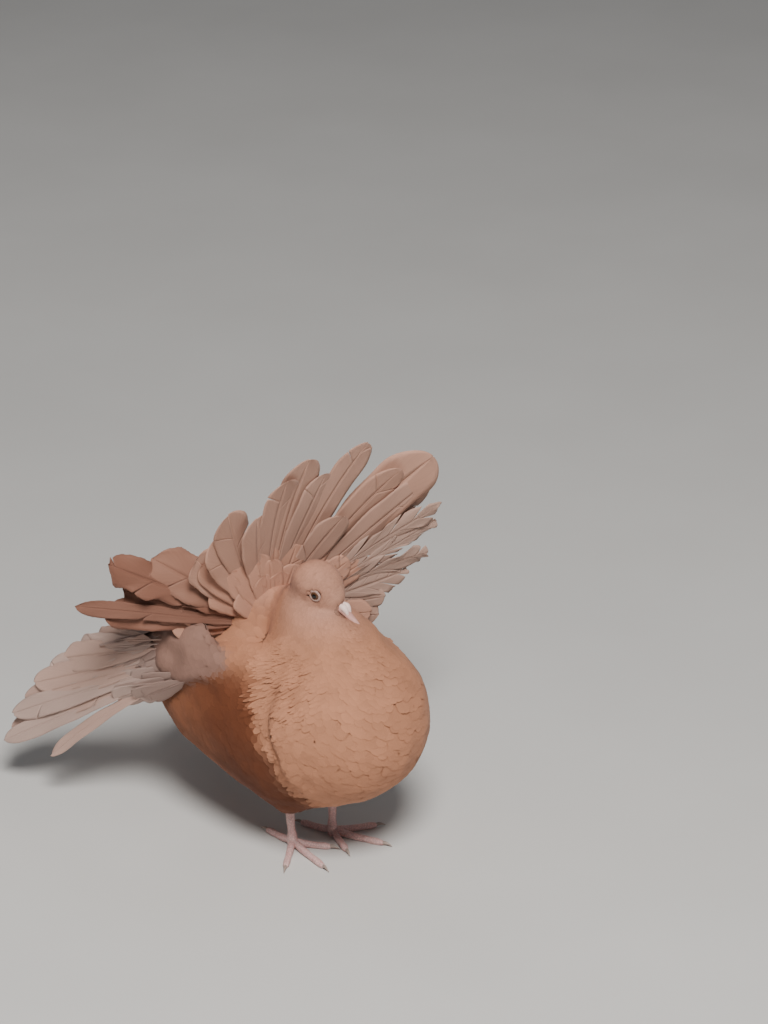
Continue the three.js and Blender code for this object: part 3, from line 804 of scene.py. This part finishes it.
def grow_coat(first_number, points, faces, shares, shag):
    """Adds the feathers with the given roots as pieces, and returns how many pieces there are so far."""
    order = np.argsort(points[:, 1])
    points, faces, shares = points[order], faces[order], shares[order]
    ring, colour = body_feathers(points, faces, shares, shag[order])
    vane = feather_uv(len(points))
    root_uv = (corner_uv[faces] * shares[..., None]).sum(1)
    bake = root_uv[:, None, None, :] + (vane - 0.5) * BAKE_PATCH
    tint = np.broadcast_to(colour[:, None, None, :], ring.shape)
    number = first_number
    for start in range(0, len(points), MOST_FEATHERS):
        number += 1
        part = slice(start, start + MOST_FEATHERS)
        quads = repeated_faces(ring_faces(STATIONS, 4), len(ring[part]), STATIONS * 4)
        layers = (values[part].reshape(-1, values.shape[-1]) for values in (tint, vane, bake))
        mesh = array_mesh(f"coat_{number}", ring[part].reshape(-1, 3), quads, *layers)
        sharpen_vane_edges(mesh)
        add_piece(mesh, COAT)
    return number


def add_base_coat():
    roots = spread_roots(lambda middle: ~near_face_parts(middle), COAT_SPACING)
    return grow_coat(0, *roots, 0.1 * shaggy_share(roots[0]))


def add_strands(first_number):
    """A second layer of loose, narrow feathers where the plumage is shaggy."""
    roots = spread_roots(lambda middle: shaggy_share(middle) > 0.12, STRAND_SPACING)
    kept = ~near_face_parts(roots[0])
    points, faces, shares = (values[kept] for values in roots)
    grow_coat(first_number, points, faces, shares, 0.5 + 0.5 * shaggy_share(points))


add_strands(add_base_coat())


# Large feathers of the tail and wings: a shaft, and on each side a vane that splits into bundles of barbs

VANE_SHARES = np.array([0, 0.3, 0.62, 0.87, 1.0])
VANE_WIDTHS = np.array([0.2, 0.6, 0.96, 1.0, 0.9])
BARB_STATIONS = 6
ROUND_TIP = 0.16
FRAYED = 1.6
BUNDLE_MIN = 4
SHAFT_STATIONS = 14
# At a feather's foot and tip, and at a barb's foot and end
SHAFT_RADII = (0.8, 0.2)
BARB_THICKNESS = (0.26, 0.12)


def vane_half_width(share, width):
    """Half the feather's width at a share of its length, with a rounded tip."""
    full = sum(np.interp(share + step, VANE_SHARES, VANE_WIDTHS) for step in (-0.05, 0.05)) / 2
    over = np.clip((share - 1 + ROUND_TIP) / ROUND_TIP, 0, 1)
    return 0.5 * width * full * np.sqrt(1 - over * over)


def sheet_faces(rows, columns):
    """Top, underside and rim of a thin sheet: its top points come first, then its underside's."""
    grid = np.arange(rows * columns).reshape(rows, columns)
    top = np.stack([grid[:-1, :-1], grid[:-1, 1:], grid[1:, 1:], grid[1:, :-1]], -1).reshape(-1, 4)
    under = top[:, ::-1] + rows * columns
    rim = np.concatenate([grid[0, :], grid[1:, -1], grid[-1, -2::-1], grid[-2:0:-1, 0]])
    after = np.roll(rim, -1)
    walls = np.stack([after, rim, rim + rows * columns, after + rows * columns], -1)
    return np.vstack([top, under, walls]), len(walls)


class Plume:
    """One large feather, in blocks of points, faces, tints, map values and which faces are rims."""

    def __init__(self, root, direction, face, length, width, bend, colour, barbs, fray, ruffle, start,
                 sweep=0.0, curl=0.0):
        self.root, self.direction, self.length, self.width = root, direction, length, width
        self.side = unit(np.cross(direction, face))
        self.face = unit(face)
        self.bend, self.sweep, self.curl, self.ruffle = bend, sweep, curl, ruffle
        self.colour, self.fray, self.start, self.barbs = colour, fray, start, barbs
        self.blocks = []
        self.count = 0
        for hand in (-1, 1):
            self.grow_vane(hand)
        self.grow_shaft()

    def centre(self, share):
        """Places along the shaft, which bends and sweeps to the side and curls at its tip."""
        curve = np.where(share > 0, share * share, 0)
        tip = np.clip((share - 0.55) / 0.45, 0, 1.2) ** 2
        return (
            self.root
            + self.direction * (share * self.length)[..., None]
            + self.face * (self.bend * curve + self.curl * tip)[..., None]
            + self.side * (self.sweep * curve)[..., None]
        )

    def add_block(self, points, faces, tone, uv, rims):
        tint = np.broadcast_to(self.colour * tone, points.shape)
        flat = np.arange(len(faces)) >= len(faces) - rims
        self.blocks.append((points, faces + self.count, tint, uv, flat))
        self.count += len(points)

    def bundle_size(self, parts):
        if self.fray > FRAYED:
            return int(rng.integers(BUNDLE_MIN, 12))
        return int(self.barbs / parts * rng.uniform(0.7, 1.3)) + 2

    def grow_vane(self, hand):
        """Barbs run outwards and forwards from the shaft. A loose vane parts into many bundles."""
        phase = 6.28 * rng.random()
        wobble = rng.standard_normal(3)
        parts = 1 + rng.poisson(0.3 * self.fray)
        start = 0
        while start < self.barbs:
            stop = min(start + self.bundle_size(parts), self.barbs)
            if self.barbs - stop < BUNDLE_MIN:
                stop = self.barbs
            self.grow_bundle(hand, start, stop, phase, wobble)
            start = stop

    def grow_bundle(self, hand, start, stop, phase, wobble):
        """A closed sheet of neighbouring barbs, each from its foot on the shaft to its end at the edge."""
        frayed = self.fray > FRAYED
        rows = stop - start + 1
        foot = 0.03 + 0.965 * np.linspace(start, stop, rows) / self.barbs
        reach = (0.5 * self.width / self.length + 0.03) * (2.4 if frayed else 1.0)
        left = 1 - foot
        end = 1 - left * left / (left + reach)
        t = np.linspace(0, 1, BARB_STATIONS)
        middle = (np.arange(rows) - (rows - 1) / 2) / max(rows - 1, 1)
        notch = 0.006 * self.fray * (0.3 + rng.random())
        shift = rng.standard_normal() * 0.005 * self.fray
        lift = rng.standard_normal() * 0.3 * self.fray
        wavy = wobble @ np.sin([7 * foot + phase, 13 * foot, 29 * foot])
        ragged = 1 + 0.020 * self.fray**2 * wavy - 0.03 * self.fray * rng.random(rows)
        ragged = ragged * (rng.uniform(0.7, 1.15) if frayed else 1.0)
        along = foot[:, None] + (end - foot)[:, None] * t**0.9
        along = along + (shift - 2 * notch * middle)[:, None] * t**3
        lateral = vane_half_width(end, self.width)[:, None] * ragged[:, None] * t
        wave = self.ruffle * np.sin(phase + 17.3 * foot[:, None] * self.length / 110)
        height = -0.06 * lateral + lift * t**3 + wave * t**2 * (0.4 + 0.6 * foot[:, None])
        top = self.centre(np.minimum(along, 1.02))
        top = top + self.side * (hand * lateral)[..., None] + self.face * height[..., None]
        thickness = np.broadcast_to(np.interp(t, [0, 1], BARB_THICKNESS), (rows, BARB_STATIONS))
        under = top - self.face * thickness[..., None]
        faces, rims = sheet_faces(rows, BARB_STATIONS)
        if hand < 0:
            faces = faces[:, ::-1]
        tone = 1 + 0.01 * rng.standard_normal()
        across = np.broadcast_to(0.5 + 0.5 * hand * t, (rows, BARB_STATIONS))
        uv = np.stack([across, np.clip(along, 0, 1)], -1).reshape(-1, 2)
        points = np.vstack([top.reshape(-1, 3), under.reshape(-1, 3)])
        self.add_block(points, faces, tone, np.vstack([uv, uv]), rims)

    def grow_shaft(self):
        share = np.linspace(self.start / self.length, 0.97, SHAFT_STATIONS)
        centre = self.centre(share) + self.face * -0.1
        radius = (np.interp(share, [0, 1], SHAFT_RADII) * min(1.0, 0.35 + self.width / 45))[:, None]
        side, face = self.side * radius, self.face * radius * 0.9
        ring = np.stack([centre - side, centre + face, centre + side, centre - face], 1).reshape(-1, 3)
        along = np.repeat(np.clip(share, 0, 1), 4)
        uv = np.stack([np.full(len(along), 0.5), along], -1)
        self.add_block(ring, ring_faces(SHAFT_STATIONS, 4), 1.1, uv, 0)


def add_plumes(name, plumes, material, replaced=(), mirror=False):
    """Joins plumes in one piece. Each has a cell of its own in the bake map."""
    blocks = []
    start = 0
    columns = math.ceil(math.sqrt(len(plumes)))
    cell = 1 / columns
    for index, plume in enumerate(plumes):
        corner = np.array([index % columns, index // columns]) * cell
        for points, faces, tint, uv, flat in plume.blocks:
            bake = corner + (0.04 + 0.92 * uv) * cell
            blocks.append((points, faces + start, tint, uv, bake, flat[:, None]))
        start += plume.count
    points, faces, tint, vane, bake, flat = (np.vstack(values) for values in zip(*blocks))
    if mirror:
        points, faces = mirrored(points), faces[:, ::-1]
    mesh = array_mesh(name, points, faces, tint, vane, bake)
    mesh.polygons.foreach_set("use_smooth", ~flat[:, 0])
    add_piece(mesh, material, replaced)


# Degrees from upright, reach from the tail's root, width, lean out of the fan's front, curl of the tip, fray,
# ruffle of the edges, greyness
TAIL_PLAN = (
    (75, 115, 21, -22, 5, 1.5, 2.4, 0.0),
    (73, 137, 12, -20, 3, 1.5, 1.0, 0.2),
    (67, 104, 30, -16, -5, 1.4, 2.6, 0.0),
    (59, 129, 24, -16, 8, 1.5, 3.2, 0.0),
    (51, 98, 32, -8, -6, 1.4, 2.8, 0.0),
    (42, 84, 28, 4, 3, 1.0, 1.2, 0.1),
    (33, 95, 28, 18, 2, 0.8, 0.8, 0.0),
    (24, 112, 28, 28, 2, 0.7, 0.6, 0.1),
    (14, 96, 27, 28, -2, 0.7, 0.6, 0.2),
    (3, 119, 29, 32, 2, 0.7, 0.5, 0.2),
    (-5, 133, 28, 34, 3, 0.6, 0.5, 0.2),
    (-13, 118, 26, 30, -2, 0.7, 0.5, 0.3),
    (-22, 145, 24, 34, 3, 0.6, 0.5, 0.2),
    (-30, 90, 26, 22, 0, 1.0, 0.6, 0.3),
    (-39, 134, 32, 24, 2, 0.3, 0.4, 0.0),
    (-46, 153, 46, 22, 5, 0.3, 0.6, 0.0),
    (-52, 140, 30, 20, -1, 0.8, 0.6, 0.3),
    (-60, 136, 20, 20, 2, 2.2, 1.0, 0.8),
    (-66, 131, 17, 18, -3, 2.4, 1.0, 0.9),
    (-73, 117, 21, 14, 3, 2.4, 1.2, 0.9),
    (-80, 103, 24, 10, -2, 2.2, 1.2, 0.8),
    (-89, 85, 19, 4, 2, 1.6, 0.8, 0.7),
    (-99, 84, 24, 2, 0, 1.2, 0.6, 0.5),
    (-109, 78, 24, 0, 0, 1.2, 0.6, 0.5),
)
# Rows of coverts over the foot of the fan: front or back, first radius, reach, width, height out of the fan,
# and the angle where the row ends
FAN_COVERTS = (
    (1, 10, 62, 20, 3.2, 56),
    (-1, 10, 62, 20, 3.2, 80),
    (1, 2, 50, 19, 6.5, 56),
    (-1, 2, 48, 18, 5.5, 80),
)
COVERT_BARBS = 34
FAN_COVERT_START = -104
FAN_COVERT_STEP = 9.5


def fan_direction(angle):
    return turned(UP, -fan_left, angle)


def fan_lean(angle, reach):
    """How far the fan stands out of its plane at a distance from the root."""
    angles, reaches, _, leans = np.array(TAIL_PLAN)[::-1, :4].T
    share = (reach - FAN_ROOT_RADIUS) / (np.interp(angle, angles, reaches) - FAN_ROOT_RADIUS)
    return np.interp(angle, angles, leans) * (0.55 * share + 0.45 * share * share) - 2


def tail_plumes():
    plumes = []
    for index, (angle, reach, width, lean, curl, fray, ruffle, greyness) in enumerate(TAIL_PLAN):
        length = reach - FAN_ROOT_RADIUS
        radial = fan_direction(angle)
        direction = unit(radial + fan_front * 0.55 * lean / length)
        twist = 9 * (1 + 0.8 * math.sin(index * 2.4))
        face = unit(level_with(turned(fan_front, fan_direction(angle - 90), twist), direction))
        root = TAIL_ROOT + radial * FAN_ROOT_RADIUS - fan_front * 2
        shade = blend(np.ones(3), LOW_SHADE, smooth_step(angle, 40, 56))
        colour = blend(PALE_VANE, GREY_VANE, greyness) * shade
        plumes.append(Plume(
            root, direction, face, length, width, 0.45 * lean, colour, int(30 + length / 3), fray, ruffle,
            start=-20, curl=curl))
    return plumes


def fan_covert_plumes():
    """Short feathers over the foot of the fan, on its back and on its front."""
    plumes = []
    for face_side, first, reach, width, height, last_angle in FAN_COVERTS:
        for number, angle in enumerate(np.arange(FAN_COVERT_START, last_angle, FAN_COVERT_STEP)):
            angle = angle + 4 * rng.standard_normal()
            stand = height + 0.7 * (number % 2)
            length = (reach - first) * (1 + 0.18 * rng.standard_normal())
            lean = (fan_lean(angle, reach) + 2) * 0.5 - face_side * 0.5 * (height - 3)
            radial = fan_direction(angle)
            direction = unit(radial + fan_front * lean / length)
            face = unit(level_with(fan_front * face_side, direction))
            root = TAIL_ROOT + radial * first + fan_front * (face_side * stand - 2)
            tan_share = 0.45 + 0.3 * rng.random() + 0.02 * height
            colour = blend(PALE_VANE, PINK_TAN, tan_share)
            plumes.append(Plume(
                root, direction, face, length, width, 1.0, colour, COVERT_BARBS, fray=0.8, ruffle=0.8,
                start=-4))
    return plumes


# Height of the root on the arm, length, width, degrees above the wing's line, sweep, and how far the feather
# stands out of the wing's face: they lie in three steps
PRIMARIES = (
    (-3, 126, 10, -2, -14, -1.5),
    (1, 162, 14, 0, -2, -0.6),
    (3, 157, 16, 1.5, -1, -0.2),
    (6, 146, 17, 3, 0, 2.0),
    (9, 134, 18, 5, 0, 2.4),
)
SECONDARIES = (
    (12, 120, 20, 7.5, 0, 2.9),
    (15, 105, 21, 9.5, 0, 3.3),
    (18, 90, 21, 11.5, 0, 5.4),
    (21, 74, 21, 13, 0, 5.9),
    (24, 56, 20, 14.5, 0, 6.3),
)
# Stations along the arm: back, centre's rise, centre's height out of the face, half height, half thickness
ARM = np.array([
    (-33, 9, -1, 14, 2.5), (-27, 10, 0, 16, 5.5), (-14, 10.5, 1, 20.5, 8),
    (2, 11.5, 1, 21.5, 7.5), (16, 12.5, 0.5, 20.5, 5.5), (30, 13, 0, 17, 3),
])
# Rows of coverts round the arm: back of the roots, length, slope out of the face, bend, height, paleness,
# which is the share of the pale mauve with its painted light
COVERT_ROWS = (
    (19, 44, -0.06, -2.5, -1.8, 0.75),
    (10, 40, -0.07, -2.0, -2.2, 0.5),
    (0, 36, -0.05, -2.0, -2.4, 0.3),
)
COVERT_WIDTH = 19
COVERTS_PER_ROW = 8
COVERT_HALF_ARC = 68


def flight_plumes(rows):
    plumes = []
    for index, (rise, length, width, turn, sweep, out) in enumerate(rows):
        root, direction = wing_point(QUILL_START, rise, out), turned(wing_back, wing_up, turn)
        # Painted light: the flight feathers are brightened, the pale vane by a fifth and the pale mauve as
        # well, to stand for light on the wing's face.
        colour = blend(PALE_VANE * 1.2, PALE_MAUVE_AND_PAINTED_LIGHT, 0.6 + 0.3 * (index % 2))
        plumes.append(Plume(
            root, direction, wing_face, length, width, -6, colour, int(26 + length / 3), fray=0.8, ruffle=0.7,
            start=-6, sweep=sweep, curl=1.2 * rng.standard_normal()))
    return plumes


def wing_covert_plumes():
    """Rows of smooth feathers that wrap the arm and step back over the foot of the flight feathers."""
    plumes = []
    for back, full_length, slope, bend, height, paleness in COVERT_ROWS:
        middle, out, half_height, half_thick = (np.interp(back, ARM[:, 0], ARM[:, k]) for k in range(1, 5))
        for place in np.linspace(-1, 1, COVERTS_PER_ROW):
            turn_round = math.radians(COVERT_HALF_ARC * place + 3 * rng.standard_normal())
            rise = middle + half_height * math.sin(turn_round)
            over = out + half_thick * math.cos(turn_round) + height
            face = wing_face * math.cos(turn_round) + wing_up * math.sin(turn_round) * 0.6
            turn = 4 + 0.42 * (rise - middle) + 2 * rng.standard_normal()
            direction = unit(turned(wing_back, wing_up, turn) + face * slope)
            length = full_length * (1 + 0.06 * rng.standard_normal())
            # Between the mauve, darkened in part as painted shade, and the pale mauve, brightened as painted
            # light.
            colour = blend(MAUVE, PALE_MAUVE_AND_PAINTED_LIGHT, paleness + 0.12 * rng.random())
            root, face = wing_point(back, rise, over), unit(level_with(face, direction))
            plumes.append(Plume(
                root, direction, face, length, COVERT_WIDTH, bend, colour, COVERT_BARBS, fray=0.5, ruffle=0.4,
                start=-1))
    return plumes


TAIL = feather_material("tail_feather", 560.0, 1.06, 0.84, 0.00008, 0.65, 0.04)
WING = feather_material("flight_feather", 560.0, 1.05, 0.88, 0.00008, 0.6, 0.04)
add_plumes("tail_fan", tail_plumes(), TAIL, TAIL_NODES)
add_plumes("tail_coverts", fan_covert_plumes(), TAIL)
for word in ("right", "left"):
    flight = flight_plumes(PRIMARIES) + flight_plumes(SECONDARIES)
    flight_nodes = (f"wing_{word}_primaries", f"wing_{word}_secondaries")
    add_plumes(f"wing_{word}_flight", flight, WING, flight_nodes, word == "left")
    add_plumes(f"wing_{word}_rows", wing_covert_plumes(), WING, (), word == "left")


# Lofted round pieces: bill, cere, legs and claws


def full_turn(sides):
    return np.linspace(0, 2 * np.pi, sides, endpoint=False)


def resample(rows, count):
    """Rows of numbers, smoothly filled in by a cubic through them."""
    rows = np.array(rows, dtype=float)
    slopes = np.gradient(rows, axis=0)
    places = np.linspace(0, len(rows) - 1, count)
    index = np.minimum(places.astype(int), len(rows) - 2)
    t = (places - index)[:, None]
    return (
        (2 * t**3 - 3 * t**2 + 1) * rows[index]
        + (t**3 - 2 * t**2 + t) * slopes[index]
        + (-2 * t**3 + 3 * t**2) * rows[index + 1]
        + (t**3 - t**2) * slopes[index + 1]
    )


def loft_mesh(name, centres, across, up, widths, heights, sides, scale=1.0):
    """A closed tube through stations. The scale may change the radius by station and side."""
    turn = full_turn(sides)
    ring = (
        centres[:, None]
        + across * (widths[:, None] * np.cos(turn) * scale)[..., None]
        + up * (heights[:, None] * np.sin(turn) * scale)[..., None]
    )
    points = ring.reshape(-1, 3)
    faces = ring_faces(len(centres), sides).tolist()
    first, last = len(points), len(points) + 1
    start = (len(centres) - 1) * sides
    for here in range(sides):
        after = (here + 1) % sides
        faces.append([first, after, here])
        faces.append([last, start + here, start + after])
    mesh = smooth_mesh(name, np.vstack([points, centres[0], centres[-1]]), faces)
    work = bmesh.new()
    work.from_mesh(mesh)
    bmesh.ops.recalc_face_normals(work, faces=work.faces)
    work.to_mesh(mesh)
    work.free()
    mesh.update()
    return mesh


# Rows are share of the length, rise, half width and half height
UPPER_BILL = (
    (-0.12, -2.2, 3.5, 2.3), (0, -2.2, 3.7, 2.4), (0.35, -2.7, 3.0, 2.1), (0.6, -3.2, 2.3, 2.0),
    (0.82, -4.1, 1.7, 1.9), (0.95, -5.4, 1.0, 1.4), (1, -6.2, 0.4, 0.6),
)
LOWER_BILL = (
    (-0.12, -7.1, 3.2, 1.9), (0, -7.1, 3.4, 2.0), (0.4, -7.1, 2.6, 1.6), (0.75, -7.4, 1.7, 1.2),
    (1, -7.8, 0.6, 0.5),
)
LOWER_BILL_SHORTER = 2.7
CERE_ROWS = (
    (-1.5, -0.4, 1.4, 1.6), (0, 0.0, 1.8, 2.0), (2.0, 0.2, 2.25, 2.4), (4.4, -0.4, 1.9, 1.9),
    (6.2, -1.3, 1.1, 1.1), (6.9, -1.7, 0.4, 0.4),
)
CERE_ASIDE = 1.75
BILL_BASE = FACE_DISTANCE + GAP
BILL_LENGTH = BILL_TIP_DISTANCE - BILL_BASE


def head_loft(name, rows, length, count=26, sides=24, aside=0.0):
    rows = resample(rows, count)
    rows[:, 2:] = np.maximum(rows[:, 2:], 0.15)
    centres = np.array([head_point(BILL_BASE + row[0] * length, row[1], aside) for row in rows])
    return loft_mesh(name, centres, head_left, crownward, rows[:, 2], rows[:, 3], sides)


def add_bill():
    horn = horn_material("bill_horn", (0.50, 0.25, 0.21), (0.60, 0.34, 0.29), 0.6)
    for word, rows, shorter in (("upper", UPPER_BILL, 0), ("lower", LOWER_BILL, LOWER_BILL_SHORTER)):
        half = head_loft(f"bill_{word}_horn", rows, BILL_LENGTH - shorter)
        add_piece(half, horn, ("bill_" + word,))
    soft = horn_material("cere_skin", (0.76, 0.54, 0.49), (0.90, 0.69, 0.63), 0.8, 500.0, 0.0003)
    lobes = [head_loft("lobe", CERE_ROWS, 1.0, 20, 20, side * CERE_ASIDE) for side in (-1, 1)]
    add_piece(joined_mesh("cere_lobes", lobes), soft, ("cere",))


# Eyes

EYE_RINGS = 28
EYE_SIDES = 40
CORNEA_BULGE = 0.05
LID_SIDES = 56
LID_SECTION = 12
LID_OPENING = 2.75
LID_STAND = 2.75
LID_HALF_WIDTH = 0.72
LID_HALF_HEIGHT = 0.42


def add_eye(side, word):
    """A ball with a slightly bulging cornea, whose map holds the distance from the eye's axis."""
    polar = np.linspace(0.001, np.pi - 0.001, EYE_RINGS)[:, None, None]
    turn = full_turn(EYE_SIDES)[:, None]
    bulge = 1 + CORNEA_BULGE * np.exp(-((polar / 0.55) ** 2))
    circle = billward * np.cos(turn) + crownward * np.sin(turn)
    axis = head_left * side
    points = head_point(0, 0, side * EYE_HALF_SPAN) + EYE_RADIUS * bulge * (
        axis * np.cos(polar) + circle * np.sin(polar))
    off_axis = np.where(polar > np.pi / 2, 1, np.sin(polar))[..., 0]
    uv = np.stack(np.broadcast_arrays(turn.T / (2 * np.pi), off_axis), -1)
    faces = ring_faces(EYE_RINGS, EYE_SIDES)
    if side > 0:
        faces = faces[:, ::-1]
    mesh = array_mesh("eyeball_" + word, points.reshape(-1, 3), faces, None, uv.reshape(-1, 2))
    add_piece(mesh, eye_material("eye_" + word), ("eye_" + word,))


def add_lid(side, word):
    """The bare pale ring of skin round the eye, with an upper and a lower lid that narrow its opening."""
    turn = full_turn(LID_SIDES)[:, None]
    bend = full_turn(LID_SECTION)[None, :]
    around = billward * np.cos(turn) + crownward * np.sin(turn)
    beyond = LID_HALF_WIDTH * (1 + np.cos(bend)) - 0.05 * np.sin(6 * turn)
    from_axis = LID_OPENING - 0.30 * np.sin(turn) ** 2 + beyond
    stand = LID_STAND + LID_HALF_HEIGHT * np.sin(bend) - 0.275 * beyond
    centre = head_point(0, 0, side * EYE_HALF_SPAN)
    points = centre + around[:, None] * from_axis[..., None] + head_left * side * stand[..., None]
    faces = ring_faces(LID_SIDES, LID_SECTION, closed=True)
    if side > 0:
        faces = faces[:, ::-1]
    add_piece(array_mesh("eye_ring_" + word, points.reshape(-1, 3), faces), LID)


# Legs

# Degrees outwards from straight ahead, and length
TOES = {"outer": (58, 30), "middle": (16, 36), "inner": (-29, 25), "hind": (187, 24.5)}
TOE_RADIUS = 2.4
TOE_SCUTE = 1.9
SHANK_SCUTE = 2.3
CLAW_LENGTH = 6.5
# Outwards, back, height, half width and half depth
SHANK_ROWS = (
    (0, 0, 0.4, 3.3, 3.3), (0, 0, 3, 3.9, 4.0), (0, 0.3, 7, 3.3, 3.5), (0, 0.4, 9.5, 3.0, 3.2),
    (0.3, 0.5, 12.5, 2.5, 2.7), (0.7, 0.8, 17, 2.7, 2.9), (1.0, 1.0, 24, 3.0, 3.2), (1.4, 1.4, 36, 3.4, 3.6),
)
# Share of the length beyond the toe's end, height, half height
CLAW_ROWS = ((-0.12, 1.9, 1.2), (0, 2.0, 1.3), (0.3, 2.3, 1.15), (0.65, 1.8, 0.75), (1, 0.7, 0.22))


def foot_point(side):
    return np.array([side * FOOT_HALF_STANCE, FOOT_BACK - side * FOOT_STAGGER, 0.0])


def scutes(along, pitch):
    return np.abs(np.sin(np.pi * along / pitch))[:, None] ** 0.5


def toe_loft(name, side, turn, reach, height, widths, heights, sides, scale=1.0):
    """A tube along a toe's line, through stations at a reach and a height from the middle of the foot."""
    direction = turned(-Y_AXIS, X_AXIS * side, turn)
    across = np.cross(UP, direction)
    centres = foot_point(side) + direction * reach[:, None] + UP * height[:, None]
    return loft_mesh(name, centres, across, UP, widths, heights, sides, scale)


def toe_mesh(side, turn, length):
    """A toe with scutes across its top and swollen pads below, flat where it meets the floor."""
    sides = 20
    reach, height, radius = resample([
        (-1, 4.4, 2.6), (0.16 * length, 3.2, 2.5), (0.42 * length, 2.1, TOE_RADIUS + 0.15),
        (0.65 * length, 2.0, TOE_RADIUS - 0.1), (0.86 * length, 1.95, TOE_RADIUS),
        (length, 1.8, TOE_RADIUS - 0.7), (length + 0.8, 1.7, 0.5)], 70).T
    top = np.clip(np.sin(full_turn(sides)), 0, 1) ** 0.5
    under = np.clip(-np.sin(full_turn(sides)), 0, 1)
    pads = np.sin(np.pi * reach / (length / 3.0))[:, None]
    scale = 0.93 + 0.10 * scutes(reach, TOE_SCUTE) * top + 0.05 * pads * under
    radius = np.maximum(radius, 0.4)
    mesh = toe_loft("toe", side, turn, reach, height, radius, radius, sides, scale)
    for vert in mesh.vertices:
        vert.co.z = max(vert.co.z, 0.0)
    return mesh


def shank_mesh(side):
    sides = 22
    rows = resample(SHANK_ROWS, 80)
    centres = foot_point(side) + rows[:, :3] * (side, 1, 1)
    front = np.clip(-np.sin(full_turn(sides)), 0, 1) ** 0.5
    scale = 0.95 + 0.08 * scutes(rows[:, 2], SHANK_SCUTE) * front
    return loft_mesh("shank", centres, X_AXIS, Y_AXIS, rows[:, 3], rows[:, 4], sides, scale)


def claw_mesh(side, turn, length):
    share, height, radius = resample(CLAW_ROWS, 20).T
    return toe_loft("claw", side, turn, length + GAP + share * CLAW_LENGTH, height, radius * 0.8, radius, 14)


def add_leg(side, word):
    parts = [shank_mesh(side)] + [toe_mesh(side, *plan) for plan in TOES.values()]
    add_piece(joined_mesh("leg_" + word, parts), LEG, ("shank_" + word, "foot_" + word))
    claws = [claw_mesh(side, *plan) for plan in TOES.values()]
    add_piece(joined_mesh("claws_" + word, claws), CLAW, [f"claw_{word}_{name}" for name in TOES])


LID = horn_material("eye_ring_skin", (0.33, 0.205, 0.17), (0.45, 0.30, 0.25), 0.8, 700.0, 0.0003)
CLAW = horn_material("claw_horn", (0.26, 0.19, 0.16), (0.44, 0.35, 0.30), 0.35)
LEG = scaly_material()
add_bill()
for side, word in ((-1, "right"), (1, "left")):
    add_eye(side, word)
    add_lid(side, word)
for side, word in ((-1, "right"), (1, "left")):
    add_leg(side, word)


# Floor, light and camera: lamps and floor in metres, the camera in the bird's frame

FLOOR_HALF = 8
LAMP_AIM = np.array([0, 10, 120.0])
CAMERA_PLACE = np.array([-1528.6, -1310.7, 1165.0])
CAMERA_AIM = np.array([59.7, -9.1, 221.3])
LENS = 3500 * 36 / 1024
# Name, place, width, power and colour
LAMPS = (
    ("key", (-0.84, -0.95, 1.68), 0.6, 57, (1.0, 0.97, 0.94)),
    ("fill", (-1.2, -1.9, 1.1), 1.4, 0.9, (0.95, 0.97, 1.0)),
    ("rim", (0.9, 1.1, 1.5), 0.8, 2.5, (1.0, 0.98, 0.96)),
)


def add_floor():
    mesh = bpy.data.meshes.new("floor")
    corners = [(x * FLOOR_HALF, y * FLOOR_HALF, 0) for x, y in ((-1, -1), (1, -1), (1, 1), (-1, 1))]
    mesh.from_pydata(corners, [], [(0, 1, 2, 3)])
    mesh.materials.append(floor_material())
    floor = add_object("floor", mesh)


def put(thing, place, aim):
    """Places a lamp or a camera and turns it to an aim, given in the bird's frame."""
    thing.location = place
    thing.rotation_mode = "QUATERNION"
    thing.rotation_quaternion = (Vector(to_row(aim)) - thing.location).to_track_quat("-Z", "Y")


def add_lamp(name, place, size, power, colour):
    data = bpy.data.lights.new(name, "AREA")
    data.shape = "DISK"
    data.size = size
    data.energy = power
    data.color = colour
    put(add_object(name, data), place, LAMP_AIM)


def add_world():
    world = bpy.data.worlds.new("studio")
    bpy.context.scene.world = world
    world.use_nodes = True
    background = world.node_tree.nodes["Background"].inputs
    background["Color"].default_value = (0.92, 0.95, 1.0, 1)
    background["Strength"].default_value = 0.15


def add_camera():
    data = bpy.data.cameras.new("camera")
    data.lens = LENS
    data.sensor_width = 36
    data.clip_start = 0.05
    data.clip_end = 50
    camera = add_object("camera", data)
    put(camera, to_row(CAMERA_PLACE), CAMERA_AIM)
    bpy.context.scene.camera = camera


add_floor()
for lamp in LAMPS:
    add_lamp(*lamp)
add_world()
add_camera()
